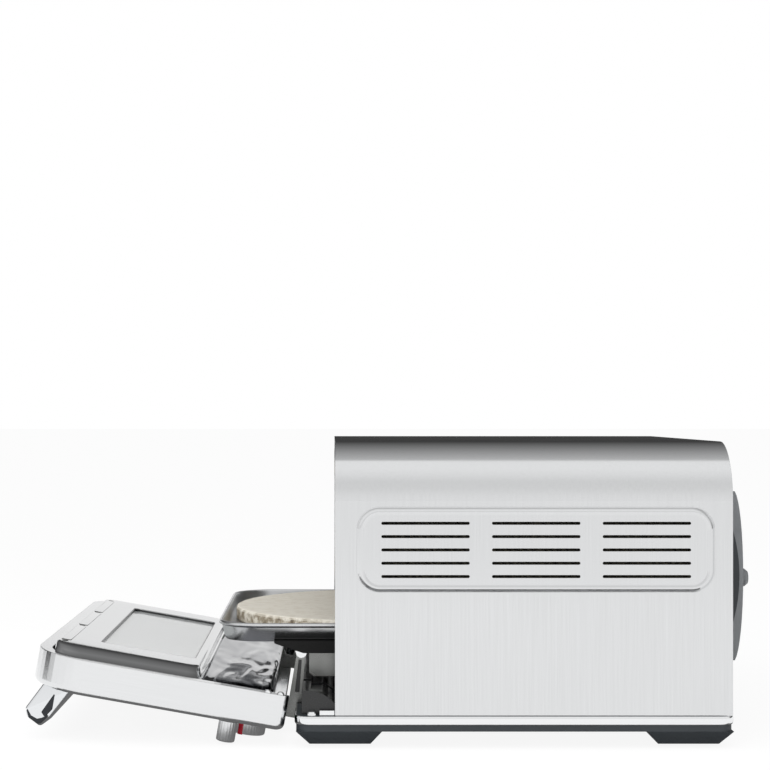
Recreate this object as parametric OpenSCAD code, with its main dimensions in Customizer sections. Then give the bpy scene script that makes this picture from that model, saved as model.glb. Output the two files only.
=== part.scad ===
// Countertop pizza oven with a drop-down front door that draws the deck out.
// It is drawn with its door open and its deck out. X runs across the oven,
// -Y is its front, +Z is up, and the origin is the middle of its outer box, on the floor.

/* [Deck] */
// Radius of the stone disc, which sets the size of the whole oven
stone_r = 152.5; // [140:0.5:165]
// Thickness of the stone disc
stone_t = 13.5; // [11:0.5:15]
// Width of the tray's border beside the stone
tray_side = 8; // [6:0.5:10]
// Width of the tray's border before and behind the stone
tray_end = 10.5; // [8:0.5:14]
// Length of the tray that stays inside when the door is open
tray_stay = 208; // [200:1:220]
// Height of the tray's side
tray_h = 14; // [12:0.5:18]
// Height of the tray's underside above the cavity's floor
tray_lift = 39; // [38:0.5:42]
// Sheet thickness of the tray
tray_t = 1.5; // [1:0.1:2]
// Radius of the tray's corners, seen from above
tray_r = 40; // [24:1:60]

/* [Housing] */
// Space between the tray and the cavity's wall, for the rail
runner_gap = 14.5; // [13:0.5:17]
// Space between the cavity's wall and the wrapper's outside
wall_gap = 56; // [50:0.5:64]
// Space between the cavity's back and the rear panel
rear_gap = 10.1; // [9:0.1:14]
// Inside height of the cavity
cavity_h = 196; // [186:1:215]
// Space between the cavity's top and the wrapper's outside
top_gap = 25.4; // [24:0.1:30]
// Height of the cavity's floor above the base
cavity_lift = 20.6; // [19:0.1:23]
// Thickness of the cavity sheet
liner_t = 1; // [0.8:0.1:1.5]
// Radius of the wrapper's two upper corners
corner_r = 52; // [40:1:60]
// Thickness of the wrapper sheet
sheet_t = 1.2; // [0.8:0.1:1.5]
// Radius of a heating element's tube
tube_r = 3.3; // [3:0.1:4]

/* [Side louvres] */
// Distance of the raised vent panel from the wrapper's front edge
vent_front = 19.6; // [15:0.1:24]
// Distance of the raised vent panel from the wrapper's back edge
vent_back = 16.4; // [14:0.1:22]
// Height of the raised vent panel
vent_h = 75; // [72:1:80]
// Height of the vent panel's lower edge above the base
vent_z = 109.6; // [100:1:120]
// How far the vent panel stands out of the side
vent_out = 3; // [2:0.5:3.5]
// Louvre slots in one column
slot_rows = 5; // [3:1:6]
// Columns of louvre slots
slot_cols = 3; // [2:1:3]
// Length of one louvre slot
slot_l = 78; // [70:1:82]
// Height of one louvre slot
slot_h = 2.6; // [2:0.1:4]
// Distance between slot rows
slot_pitch = 11.75; // [10:0.25:13]
// Distance between slot columns
col_pitch = 97.7; // [94:0.5:100]

/* [Base] */
// How far the base stands out past each side of the wrapper
base_side = 4; // [3:0.5:6]
// How far the base reaches ahead of the wrapper
nose_l = 36; // [34:1:40]
// How far the base reaches behind the wrapper
base_back = 2; // [1:0.5:4]
// Thickness of the base between its underside and the wrapper
base_t = 13.4; // [12:0.2:16]
// Height of the moulded feet under the base
pod_h = 12; // [11:0.5:16]
// Width of one moulded foot
pod_w = 105; // [96:1:110]
// Height of the rubber pads
pad_h = 4; // [3.5:0.5:6]
// Height of the bright trim band
trim_h = 7.9; // [6:0.1:9]
// Thickness of the trim band
trim_t = 1.5; // [1:0.1:2]

/* [Door] */
// How far the closed door's top lies under the wrapper's top
door_step = 0.6; // [0.5:0.1:2]
// Thickness of the door
door_t = 31.7; // [30:0.1:34]
// Gap between the closed door and the wrapper
door_gap = 0.5; // [0.4:0.1:1]
// Gap between the closed door's bottom and the base
door_lift = 9.9; // [9:0.1:12]
// Angle that the door swings down
door_swing = 80; // [70:1:82]
// Distance of the hinge axis ahead of the wrapper
hinge_ahead = 24.6; // [23:0.1:25]
// Height of the hinge axis above the floor
hinge_z = 19; // [18.5:0.1:20]
// Radius of a hinge pin
hinge_pin_r = 3; // [2.5:0.1:3.5]
// Radius of the door's two bottom corners
door_foot_r = 10; // [6:1:14]
// Radius of the door's front edge, all round
door_edge_r = 6; // [4:0.5:8]
// How far the inner panel stands behind the door's rim
panel_out = 6.5; // [5:0.5:7]
// Distance of the window from the raised panel's sides
window_side = 41; // [36:0.5:50]
// Height of the window
window_h = 90; // [80:1:96]
// Height of the window above the door's bottom
window_u = 92; // [90:1:98]

/* [Handle and controls] */
// Distance of the handle's ends from the door's sides
handle_side = 35; // [32:0.5:50]
// Thickness of the handle bar
handle_t = 24.8; // [20:0.2:26]
// Length from the door's face to the handle's edge, along its slant
handle_out = 39.5; // [36:0.5:42]
// Distance below the door's top at which the handle's slant starts
handle_down = 24.5; // [23.5:0.5:33]
// Angle by which the handle slants up from the door's face
handle_tilt = 27; // [15:1:35]
// Radius of the main dials
dial_r = 16.5; // [14:0.5:18]
// Length of the main dials
dial_l = 15; // [12:0.5:16]
// Height of the main dials above the door's bottom
dial_u = 34; // [32:0.5:38]
// Distance of the outer dials from the door's sides
dial_side = 54; // [53:0.5:60]
// Radius of the small side knob
knob_r = 8.5; // [7:0.5:9]
// Length of the small side knob
knob_l = 19; // [15:0.5:20]
// Height of the small side knob above the door's bottom
knob_u = 50; // [49:0.5:54]
// Distance of the small side knob from the door's side
knob_side = 26; // [23:0.5:27]
// Radius of the shafts under the dials
shaft_r = 3; // [2.5:0.1:3.5]

/* [Hidden] */
$fn = 48;
fit = 0.05;
gap = 0.3;
// Heights above the floor
base_z = pad_h + pod_h;
wrapper_z = base_z + base_t;
cavity_z = wrapper_z + cavity_lift;
tray_z = cavity_z + tray_lift;
wrapper_h = cavity_lift + cavity_h + top_gap;
wrapper_top = wrapper_z + wrapper_h;
door_z = wrapper_z + door_lift;
door_h = wrapper_h - door_lift - door_step;
handle_u = door_h - handle_down;
// Widths, from the stone outwards
tray_w = 2 * (stone_r + tray_side);
cavity_w = tray_w + 2 * runner_gap;
body_w = cavity_w + 2 * wall_gap;
base_w = body_w + 2 * base_side;
handle_l = body_w - 2 * handle_side;
dial_x = body_w / 2 - dial_side;
knob_x = body_w / 2 - knob_side;
// The door's outer face, its inner rim plane and the face plate behind it
door_face = -door_gap - door_t;
rim_y = -door_gap;
door_sheet = 1.5;
plate_y = panel_out + 2.5;
plate_t = 1.2;
// Depths, from the face plate backwards
liner_y = plate_y + plate_t;
tray_front = plate_y - 0.5;
tray_l = 2 * (stone_r + tray_end);
cavity_d = tray_l + 2;
back_t = 1.2;
back_y = liner_y + cavity_d + liner_t + rear_gap + back_t;
body_d = back_y + 1.5;
vent_l = body_d - vent_front - vent_back;
vent_mid = vent_front + vent_l / 2;
deck_travel = tray_l - tray_stay;
// Places that several pieces share
sill_w = body_w - 18;
rim_w = 11;
panel_u = 86;
// Ends of the outer box, which put the origin in its middle
bumper_out = 40;
tip_y = min([for (p = handle_outline(0)) open_y(door_face - p.x * cos(handle_tilt) + p.y * sin(handle_tilt),
             door_z + handle_u + p.x * sin(handle_tilt) + p.y * cos(handle_tilt))]);
y_shift = -(tip_y + body_d + bumper_out) / 2;
function open_y(y, z) = (y + hinge_ahead) * cos(door_swing) - (z - hinge_z) * sin(door_swing) - hinge_ahead;

// Colours, as the photo shows them
satin_steel = "#c9cbcd";
bright_steel = "#e8eaec";
dark_steel = "#55585c";
slate = "#4a4f55";
black_enamel = "#26282a";
rubber_black = "#1c1c1d";
stone_beige = "#d9cfbd";

// Places a fixed piece
module housed() translate([0, y_shift, 0]) children();

// Places a piece of the deck, which is drawn as it lies with the door closed
module on_deck() translate([0, y_shift - deck_travel, 0]) children();

// Swings a piece of the door, which is drawn as it stands with the door closed
module on_door()
    translate([0, y_shift - hinge_ahead, hinge_z]) rotate([door_swing, 0, 0])
        translate([0, hinge_ahead, -hinge_z]) children();

// Repeats a piece on the other side
module both_sides() { children(); mirror([1, 0, 0]) children(); }

// Stands an outline up, so that its x lies along X, its y along Z, and it reaches back from y
module upright(y, depth) translate([0, y + depth, 0]) rotate([90, 0, 0]) linear_extrude(depth) children();

// Turns a side view, whose x lies along Y and y along Z, into a bar that reaches from x to x + w
module sideways(x, w) translate([x, 0, 0]) rotate([90, 0, 90]) linear_extrude(w) children();

// A rectangle from its low corner, with one radius on its two upper and one on its lower corners
module panel_2d(w, h, top, foot) {
    translate([-w / 2, foot]) square([w, h - top - foot]);
    translate([-w / 2 + top, 0]) square([w - 2 * top, h]);
    translate([-w / 2 + foot, 0]) square([w - 2 * foot, h / 2]);
    for (s = [-1, 1]) {
        translate([s * (w / 2 - top), h - top]) circle(top, $fn = 96);
        translate([s * (w / 2 - foot), foot]) circle(foot);
    }
}

// A rectangle with four equal round corners, from its middle
module rounded_2d(w, h, r) {
    square([w - 2 * r, h], center = true);
    square([w, h - 2 * r], center = true);
    for (x = [-1, 1], y = [-1, 1]) translate([x * (w / 2 - r), y * (h / 2 - r)]) circle(r);
}

// Points of a rectangle with round upper and lower corners, counter-clockwise seen from the front
function corner_points(x, z, r, from) =
    [for (i = [0 : 12]) let (a = from + i * 7.5) [x + r * cos(a), z + r * sin(a)]];
function panel_points(w, h, top, foot) = concat(
    corner_points(w / 2 - foot, foot, foot, -90), corner_points(w / 2 - top, h - top, top, 0),
    corner_points(top - w / 2, h - top, top, 90), corner_points(foot - w / 2, foot, foot, 180));

// A closed form through rings of equally many points, from the back one to the front one
module loft(rings) {
    k = len(rings[0]);
    n = len(rings);
    polyhedron(points = [for (ring = rings) for (p = ring) p], convexity = 4, faces = concat(
        [[for (i = [0 : k - 1]) i]], [[for (i = [k - 1 : -1 : 0]) (n - 1) * k + i]],
        [for (j = [0 : n - 2], i = [0 : k - 1])
            [j * k + i, (j + 1) * k + i, (j + 1) * k + (i + 1) % k, j * k + (i + 1) % k]]));
}

// The wrapper's outline from the front, taken in by a distance
module wrapper_2d(inset) {
    w = body_w - 2 * inset;
    r = corner_r - inset;
    top = wrapper_h - inset;
    translate([-w / 2, 0]) square([w, top - r]);
    translate([-w / 2 + r, 0]) square([w - 2 * r, top]);
    for (s = [-1, 1]) translate([s * (w / 2 - r), top - r]) circle(r, $fn = 96);
}

/* The base */

// Where the levers pass: their place, thickness and the width of the slots round them
lever_x = cavity_w / 2 - 19;
lever_t = 3;
lever_slot = 13;
base_l = nose_l + body_d + base_back;
base_wall = 12;
base_floor = 2.5;
bay_w = (base_w - 90) / 3;
trim_z = wrapper_z - trim_h;
trim_corner = 14;

// The base's plan, taken in by a distance
module base_2d(inset)
    translate([0, base_l / 2 - nose_l])
        rounded_2d(base_w - 2 * inset, base_l - 2 * inset, trim_corner - inset);

// One foot: its side view from the front edge y, cut to its front view
module pod(y, length, front, back) {
    half = base_w / 2 - trim_t;
    intersection() {
        sideways(half - pod_w, pod_w)
            polygon([[y, base_z], [y + front, pad_h], [y + length - back, pad_h], [y + length, base_z]]);
        translate([0, y + length, 0]) rotate([90, 0, 0]) linear_extrude(length)
            polygon([[half - pod_w, base_z], [half - pod_w + 9, pad_h], [half - 7, pad_h], [half, base_z]]);
    }
}

pod_l = 76;
front_pod_y = trim_t - nose_l;
rear_pod_y = body_d + base_back - trim_t - pod_l;

module base_tray() housed() color(slate) difference() {
    union() {
        translate([0, 0, base_z]) linear_extrude(base_t) base_2d(trim_t);
        both_sides() {
            pod(front_pod_y, pod_l, 12, 10);
            pod(rear_pod_y, pod_l, 10, 12);
        }
    }
    // The hollow under the cavity, which leaves the rim, the nose and two ribs
    for (s = [-1, 0, 1]) translate([s * (bay_w + 10) - bay_w / 2, hinge_reach + 8, base_z + base_floor])
        cube([bay_w, body_d - hinge_reach - 8 - base_wall, base_t]);
    // Pockets for the hinge levers, open above and to the front
    both_sides() {
        translate([lever_x - lever_slot / 2, -nose_l - 1, base_z + base_floor])
            cube([lever_slot, nose_l + 1 + hinge_reach, base_t + 20]);
        translate([lever_x - lever_slot / 2, -nose_l - 1, hinge_z - 8])
            cube([lever_slot, nose_l + 9 - hinge_ahead, base_t + 20]);
        translate([lever_x - lever_slot / 2 - 6, -hinge_ahead, hinge_z]) rotate([0, 90, 0])
            cylinder(r = hinge_pin_r + fit, h = lever_slot + 12);
    }
    // Seats for the base screws
    for (p = base_screw_places()) translate([p.x, p.y, base_z - 1])
        cylinder(r = screw_r + fit, h = base_floor + 2);
}
// How far behind the wrapper's front the levers swing
hinge_reach = 42;
screw_r = 2;

function base_screw_places() = [for (x = [-90, 90], y = [60, body_d - 60]) [x, y]];

module base_screws() housed() color(bright_steel)
    for (p = base_screw_places()) translate([p.x, p.y, base_z]) {
        translate([0, 0, -1.6]) cylinder(r = 3.6, h = 1.6);
        cylinder(r = screw_r, h = base_floor);
    }

// The band's edges are stepped in
trim_edge = 0.5;
module base_trim() housed() color(bright_steel) difference() {
    union() {
        translate([0, 0, trim_z]) linear_extrude(trim_h) base_2d(trim_edge);
        translate([0, 0, trim_z + trim_edge]) linear_extrude(trim_h - 2 * trim_edge) base_2d(0);
    }
    translate([0, 0, trim_z - 1]) linear_extrude(trim_h + 2) base_2d(trim_t);
    both_sides() translate([lever_x - lever_slot / 2, -nose_l - 1, trim_z - 1])
        cube([lever_slot, 10, trim_h + 2]);
}

// Domed screws and bright strips beside the sill
sill_screw_x = sill_w / 2 + 5;
module sill_screws() housed() color(bright_steel) both_sides() {
    translate([sill_screw_x, 4 - hinge_ahead, wrapper_z]) rotate_extrude()
        polygon([[0, 0], [4.6, 0], [4.4, 1.6], [3.4, 3.2], [1.8, 4], [0, 4.2]]);
    translate([sill_screw_x - 3, 11 - hinge_ahead, wrapper_z]) cube([6, hinge_ahead - 11.5, 4.5]);
}

pad_r = 14;
module foot_pads() housed() color(rubber_black) both_sides()
    for (y = [front_pod_y + pod_l / 2, rear_pod_y + pod_l / 2])
        translate([base_w / 2 - trim_t - pod_w / 2, y, 0]) rotate_extrude()
            polygon([[0, 0], [pad_r - 2, 0], [pad_r, 1.5], [pad_r, pad_h], [0, pad_h]]);

module hinge_pins() housed() color(bright_steel) both_sides()
    translate([lever_x - lever_slot / 2 - 5, -hinge_ahead, hinge_z]) rotate([0, 90, 0])
        cylinder(r = hinge_pin_r, h = lever_slot + 10);

// The rolled sill is concentric with the hinge, so the door's open foot swings round it
sill_r = 31.5;
sill_back_h = 17.6;
module front_sill() housed() color(black_enamel) difference() {
    intersection() {
        sideways(-sill_w / 2, sill_w) union() {
            translate([-hinge_ahead, hinge_z]) circle(sill_r, $fn = 96);
            translate([0.5, wrapper_z]) square([plate_y - 0.5, sill_back_h]);
        }
        translate([-sill_w / 2, -hinge_ahead - 5, wrapper_z])
            cube([sill_w, hinge_ahead + 5 + plate_y, 60]);
    }
    both_sides() translate([lever_x - lever_slot / 2, -40, wrapper_z - 1]) cube([lever_slot, 60, 60]);
    // The drip groove along the top
    translate([-sill_w / 2 + 12, -hinge_ahead + 3, hinge_z + sill_r - 4]) cube([sill_w - 24, 10, 10]);
}

/* The housing */

slope = 5;

// The raised vent panel as it lies on the +X side, or its hollow, one sheet smaller
function vent_ring(out, inset) = [
    for (p = panel_points(vent_l - 2 * inset, vent_h - 2 * inset, 20 - inset, 20 - inset))
        [p.x, -body_w / 2 - out, p.y + wrapper_z + vent_z + inset]];
module vent_boss(out, inset, depth)
    translate([0, vent_mid, 0]) rotate([0, 0, 90])
        loft([vent_ring(-depth, inset), vent_ring(0, inset), vent_ring(0.7, inset + 0.7),
              vent_ring(out - 0.7, inset + slope - 1.8), vent_ring(out, inset + slope)]);

module louvres() {
    first_y = vent_mid - (slot_cols - 1) * col_pitch / 2;
    first_z = wrapper_z + vent_z + vent_h / 2 - (slot_rows - 1) * slot_pitch / 2;
    for (col = [0 : slot_cols - 1], row = [0 : slot_rows - 1])
        translate([body_w / 2 - 10, first_y + col * col_pitch, first_z + row * slot_pitch])
            rotate([90, 0, 90]) linear_extrude(20) {
                square([slot_l - slot_h, slot_h], center = true);
                for (s = [-1, 1]) translate([s * (slot_l - slot_h) / 2, 0]) circle(slot_h / 2, $fn = 16);
            }
}

module outer_wrapper() housed() color(satin_steel) difference() {
    union() {
        translate([0, 0, wrapper_z]) upright(0, body_d) wrapper_2d(0);
        both_sides() vent_boss(vent_out, 0, sheet_t / 2);
    }
    translate([0, 0, wrapper_z]) upright(-1, body_d + 2) wrapper_2d(sheet_t);
    translate([-body_w, -1, wrapper_z - 10]) cube([2 * body_w, body_d + 2, 10]);
    both_sides() {
        vent_boss(vent_out - sheet_t, sheet_t * 1.5, sheet_t + 2);
        louvres();
    }
}

// The plate round the cavity's mouth; its foot is the grey panel under the deck
mouth_foot = cavity_z;
module face_plate() housed() color(satin_steel) difference() {
    translate([0, 0, wrapper_z]) upright(plate_y, plate_t) wrapper_2d(sheet_t + fit);
    translate([-cavity_w / 2, plate_y - 1, mouth_foot]) cube([cavity_w, 4, cavity_h]);
    both_sides() translate([lever_x - lever_slot / 2, plate_y - 1, wrapper_z - 1]) cube([lever_slot, 4, 30]);
    // Two rows of air slots over the mouth
    for (i = [-3 : 3]) translate([i * 44 - 15, plate_y - 1, mouth_foot + cavity_h + 9]) cube([30, 4, 3]);
}

module cavity_liner() housed() color(dark_steel) difference() {
    translate([-cavity_w / 2 - liner_t, liner_y, cavity_z - liner_t])
        cube([cavity_w + 2 * liner_t, cavity_d + liner_t, cavity_h + 2 * liner_t]);
    translate([-cavity_w / 2, liner_y - 1, cavity_z]) cube([cavity_w, cavity_d + 1, cavity_h]);
    both_sides() translate([lever_x - lever_slot / 2, liner_y - 1, cavity_z - 5])
        cube([lever_slot, hinge_reach - liner_y, 10]);
    // Passages for the elements' ends and the probe
    for (z = [lower_z, upper_z], s = [-1, 1]) translate([s * terminal_x, liner_y + cavity_d - 1, z])
        rotate([-90, 0, 0]) cylinder(r = tube_r + fit, h = 5);
    translate([0, liner_y + cavity_d - 1, probe_z]) rotate([-90, 0, 0]) cylinder(r = 2 + fit, h = 5);
}

blanket_t = 22;
module insulation_blanket() housed() color("#d8d4c8") difference() {
    translate([-cavity_w / 2 - blanket_t, liner_y + 10, cavity_z + 10])
        cube([cavity_w + 2 * blanket_t, cavity_d - 10, cavity_h - 10 + liner_t + 9]);
    translate([-cavity_w / 2 - liner_t, liner_y, cavity_z])
        cube([cavity_w + 2 * liner_t, cavity_d + 20, cavity_h + liner_t]);
}

/* The heating elements */

lower_z = cavity_z + 12;
upper_z = cavity_z + cavity_h - 22;
terminal_x = 40;
probe_z = cavity_z + cavity_h - 60;

// One element: long runs from front to back, joined by round bends, with its ends at the back
element_runs = 6;
element_y0 = liner_y + 52;
element_y1 = liner_y + cavity_d - 70;
module element(z, reach) {
    pitch = 2 * reach / (element_runs - 1);
    last = element_runs - 1;
    for (i = [0 : last]) {
        x = -reach + i * pitch;
        ends = i == 0 || i == last;
        translate([x, element_y0, z]) rotate([-90, 0, 0])
            cylinder(r = tube_r, h = (ends ? element_y1 + 12 : element_y1) - element_y0);
        if (i < last) translate([x + pitch / 2, i % 2 == 0 ? element_y0 : element_y1, z])
            rotate([0, 0, i % 2 == 0 ? 180 : 0])
                rotate_extrude(angle = 180) translate([pitch / 2, 0]) circle(tube_r, $fn = 24);
    }
    // The ends turn in to the terminals
    for (s = [-1, 1]) {
        r = 12;
        translate([s * (reach - r), element_y1 + 12, z]) rotate([0, 0, s > 0 ? 0 : 90])
            rotate_extrude(angle = 90) translate([r, 0]) circle(tube_r, $fn = 24);
        translate([s * (reach - r), element_y1 + 12 + r, z]) rotate([0, -s * 90, 0])
            cylinder(r = tube_r, h = reach - r - terminal_x - r);
        translate([s * (terminal_x + r), element_y1 + 12 + 2 * r, z]) rotate([0, 0, s > 0 ? 180 : 270])
            rotate_extrude(angle = 90) translate([r, 0]) circle(tube_r, $fn = 24);
        translate([s * terminal_x, element_y1 + 12 + 2 * r, z]) rotate([-90, 0, 0])
            cylinder(r = tube_r, h = liner_y + cavity_d + 7 - element_y1 - 12 - 2 * r);
    }
}

module lower_element() housed() color("#6d6763") element(lower_z, cavity_w / 2 - 45);
module upper_element() housed() color("#6d6763") element(upper_z, cavity_w / 2 - 30);

// Ceramic beads and spade ends behind the liner
module element_terminals() housed() color("#e6e0d2")
    for (z = [lower_z, upper_z], s = [-1, 1])
        translate([s * terminal_x, liner_y + cavity_d + liner_t, z]) rotate([-90, 0, 0]) difference() {
            cylinder(r = 8, h = 5);
            translate([0, 0, -1]) cylinder(r = tube_r + fit, h = 7);
        }

module heat_reflector() housed() color(bright_steel) {
    z = cavity_z + cavity_h;
    pitch = (cavity_w - 30) / 5;
    half = pitch / 2 - 2;
    for (i = [-2 : 2]) translate([i * pitch, liner_y + 20, z]) upright(0, cavity_d - 40)
        polygon([[-half, 0], [-half, -1], [12 - half, -6], [half - 12, -6], [half, -1], [half, 0],
                 [half - 4, 0], [half - 13, -5], [13 - half, -5], [4 - half, 0]]);
}

module temperature_probe() housed() color(bright_steel)
    translate([0, liner_y + cavity_d - 60, probe_z]) rotate([-90, 0, 0]) {
        cylinder(r = 2, h = 60 + liner_t + 8);
        sphere(2);
    }

// Rails that carry the deck on both sides of the cavity
rail_top = tray_z - 14;
rail_t = 1.5;
rail_w = 14;
module deck_rails() housed() color(dark_steel) both_sides()
    upright(liner_y + 2, cavity_d - 6)
        polygon([[cavity_w / 2, rail_top + 16], [cavity_w / 2 - rail_t, rail_top + 16],
                 [cavity_w / 2 - rail_t, rail_top], [cavity_w / 2 - rail_w, rail_top],
                 [cavity_w / 2 - rail_w, rail_top - rail_t], [cavity_w / 2, rail_top - rail_t]]);

// A woven seal round the mouth's sides and top, just clear of the door's inner panel
seal_w = 7;
seal_foot = door_z + panel_u + 2;
module door_seal() housed() color("#8d8a84")
    translate([0, 0, seal_foot]) upright(rim_y + panel_out + gap, plate_y - rim_y - panel_out - gap)
        difference() {
            seal_2d(seal_w + 2);
            translate([0, -1]) seal_2d(2);
        }
module seal_2d(grow) {
    h = mouth_foot + cavity_h - seal_foot + grow;
    r = 12 + grow;
    translate([-cavity_w / 2 - grow, 0]) square([cavity_w + 2 * grow, h - r]);
    translate([-cavity_w / 2 - grow + r, 0]) square([cavity_w + 2 * grow - 2 * r, h]);
    for (x = [-1, 1]) translate([x * (cavity_w / 2 + grow - r), h - r]) circle(r);
}

/* The rear */

module rear_panel() housed() color(dark_steel) difference() {
    translate([0, 0, wrapper_z]) upright(back_y - back_t, back_t) wrapper_2d(sheet_t + fit);
    // Air slots under and over the cover
    for (i = [-5 : 5], z = [wrapper_z + 12, wrapper_top - 34]) translate([i * 32 - 10, back_y - 3, z])
        cube([20, 5, 3]);
    translate([inlet_x, back_y - 3, inlet_z]) rotate([-90, 0, 0]) cylinder(r = 9 + fit, h = 6);
    // The window behind the cover, where the elements' ends are wired
    translate([-cover_w / 2 + 20, back_y - 3, cover_z + 12]) cube([cover_w - 40, 5, cover_h - 24]);
    for (p = rear_screw_places()) translate([p.x, back_y - 3, p.y]) rotate([-90, 0, 0])
        cylinder(r = screw_r + fit, h = 6);
}

cover_w = cavity_w - 19;
cover_h = cavity_h - 36;
cover_z = cavity_z + 17;
cover_out = 22;
inlet_x = -cavity_w / 2 + 65;
inlet_z = wrapper_z + 19;

// The domed cover: its section stands along Y and Z
cover_r = (pow(cover_h / 2, 2) + pow(cover_out, 2)) / (2 * cover_out);
module cover_2d(inset) intersection() {
    translate([0, -cover_h / 2]) square([cover_out, cover_h]);
    translate([cover_out - cover_r, 0]) circle(cover_r - inset, $fn = 180);
}
module rear_cover() housed() color(slate) difference() {
    translate([0, back_y, cover_z + cover_h / 2]) sideways(-cover_w / 2, cover_w) cover_2d(0);
    translate([0, back_y - 0.5, cover_z + cover_h / 2]) sideways(-cover_w / 2 + 2, cover_w - 4) cover_2d(2);
    for (i = [-6 : 6], z = [-34, -20, 18, 32])
        translate([i * 23 - 8, back_y + 4, cover_z + cover_h / 2 + z]) cube([16, 30, 2.6]);
}

spacer_x = cover_w / 2 - 54.5;
spacer_z = cover_z + cover_h / 2 - 6;
module wall_spacers() housed() color(rubber_black) both_sides()
    translate([spacer_x, back_y + cover_out, spacer_z]) rotate([-90, 0, 0]) rotate_extrude()
        polygon([[0, 0], [11.5, 0], [11.5, 3], [8.5, 6], [8.5, bumper_out - cover_out - 3 + 1.5],
                 [6, bumper_out - cover_out + 1.5], [0, bumper_out - cover_out + 1.5]]);

// The mouth where a cord goes in
module cord_inlet() housed() color(rubber_black)
    translate([inlet_x, back_y - 8, inlet_z]) rotate([-90, 0, 0]) difference() {
        union() {
            cylinder(r = 9, h = 8);
            translate([0, 0, 8]) cylinder(r = 12, h = 3);
            translate([0, 0, 11]) cylinder(r = 7, h = 9);
        }
        translate([0, 0, -1]) cylinder(r = 3.6, h = 30);
    }

function rear_screw_places() = [for (s = [-1, 1], z = [wrapper_z + 30, wrapper_top - 70])
    [s * (body_w / 2 - 26), z]];
module rear_screws() housed() color(bright_steel)
    for (p = rear_screw_places()) translate([p.x, back_y, p.y]) rotate([-90, 0, 0]) {
        translate([0, 0, -6]) cylinder(r = screw_r, h = 6);
        cylinder(r = 3.6, h = 1.4);
    }

// The board stands on the side of the wrapper's right wall, clear of the blanket
board_x = cavity_w / 2 + blanket_t + 14;
module power_board() housed() color("#2f6b46") {
    translate([board_x, 90, wrapper_z]) cube([1.6, 160, 78]);
    for (y = [108, 150, 196]) translate([board_x - 11, y, wrapper_z + 16]) cube([11, 24, 26]);
    for (z = [18, 46]) translate([board_x + 1.6, 120, wrapper_z + z]) cube([2.4, 14, 12]);
}

// A cooling fan on the left wall, behind that side's louvres; its axis lies along X
fan_size = vent_h + 5;
fan_t = 20;
fan_r = fan_size / 2 - 6;
fan_y = vent_mid;
fan_z = wrapper_z + vent_z + vent_h / 2;
fan_shaft_r = 2.5;
module at_fan() housed() translate([sheet_t - body_w / 2, fan_y, fan_z]) rotate([0, 90, 0]) children();
module fan_housing() at_fan() color(black_enamel) {
    difference() {
        linear_extrude(fan_t) rounded_2d(fan_size, fan_size, 6);
        translate([0, 0, -1]) cylinder(r = fan_r + 1.5, h = fan_t + 2, $fn = 96);
        for (x = [-1, 1], y = [-1, 1]) translate([x * (fan_size / 2 - 5), y * (fan_size / 2 - 5), -1])
            cylinder(r = 2.2, h = fan_t + 2);
    }
    // The spider that carries the motor and its shaft
    translate([0, 0, fan_t - 2.5]) linear_extrude(2.5) {
        circle(15);
        for (a = [45, 135]) rotate(a) square([2 * fan_r + 5, 4], center = true);
    }
    translate([0, 0, 3]) cylinder(r = fan_shaft_r, h = fan_t - 4);
}
module fan_rotor() at_fan() color(dark_steel) difference() {
    union() {
        translate([0, 0, 4]) cylinder(r = 16, h = fan_t - 7.5);
        for (a = [0 : 360 / 7 : 359]) rotate([0, 0, a]) translate([14, 0, 5 + (fan_t - 9.5) / 2])
            rotate([38, 0, 0]) translate([0, -10, -0.8]) cube([fan_r - 14.5, 20, 1.6]);
    }
    translate([0, 0, -1]) cylinder(r = fan_shaft_r + fit, h = fan_t + 2);
    // The blades keep inside the housing
    for (z = [-20, fan_t - 3.2]) translate([0, 0, z]) difference() {
        cylinder(r = fan_r + 5, h = 24);
        translate([0, 0, -1]) cylinder(r = 16, h = 26);
    }
}

/* The deck */

// The tray's plan, taken in by a distance, with its front at the mouth
module tray_2d(inset) translate([0, tray_front + tray_l / 2])
    rounded_2d(tray_w - 2 * inset, tray_l - 2 * inset, tray_r - inset, $fn = 96);

lip_out = 2;
module deck_tray() on_deck() color(satin_steel) difference() {
    union() {
        translate([0, 0, tray_z]) linear_extrude(tray_h) tray_2d(lip_out);
        translate([0, 0, tray_z + tray_h - 1.5]) linear_extrude(1.5) tray_2d(0);
    }
    translate([0, 0, tray_z + tray_t]) linear_extrude(tray_h) tray_2d(lip_out + tray_t);
}

stone_y = tray_front + tray_l / 2;
module pizza_stone() on_deck() color(stone_beige)
    translate([0, stone_y, tray_z + tray_t]) rotate_extrude($fn = 180)
        polygon([[0, 0], [stone_r - 1.5, 0], [stone_r, 1.5], [stone_r, stone_t - 2.5],
                 [stone_r - 0.8, stone_t - 0.8], [stone_r - 2.5, stone_t], [0, stone_t]]);

// The black frame that carries the tray, with a web outside the levers on each side
frame_y = 62;
frame_l = tray_l - frame_y + tray_front - 12;
web_x = cavity_w / 2 - rail_w + 2;
roller_r = 5;
roller_pin_r = 2;
function roller_places() = [frame_y + 98, frame_y + frame_l - 20];
module deck_underframe() on_deck() color(black_enamel) {
    both_sides() difference() {
        translate([0, 0, tray_z]) upright(frame_y, frame_l)
            polygon([[bracket_x - 9, 0], [web_x + 1.5, 0], [web_x + 1.5, -13], [web_x, -13], [web_x, -1.5],
                     [bracket_x - 9, -1.5]]);
        for (y = roller_places()) translate([web_x - 1, y, rail_top + gap + roller_r]) rotate([0, 90, 0])
            cylinder(r = roller_pin_r + fit, h = 4);
    }
    // Two cross bars between the sides
    for (y = [frame_y + 20, frame_y + frame_l - 60]) translate([9 - bracket_x, y, tray_z - 5])
        cube([2 * (bracket_x - 9), 24, 5]);
}

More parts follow.
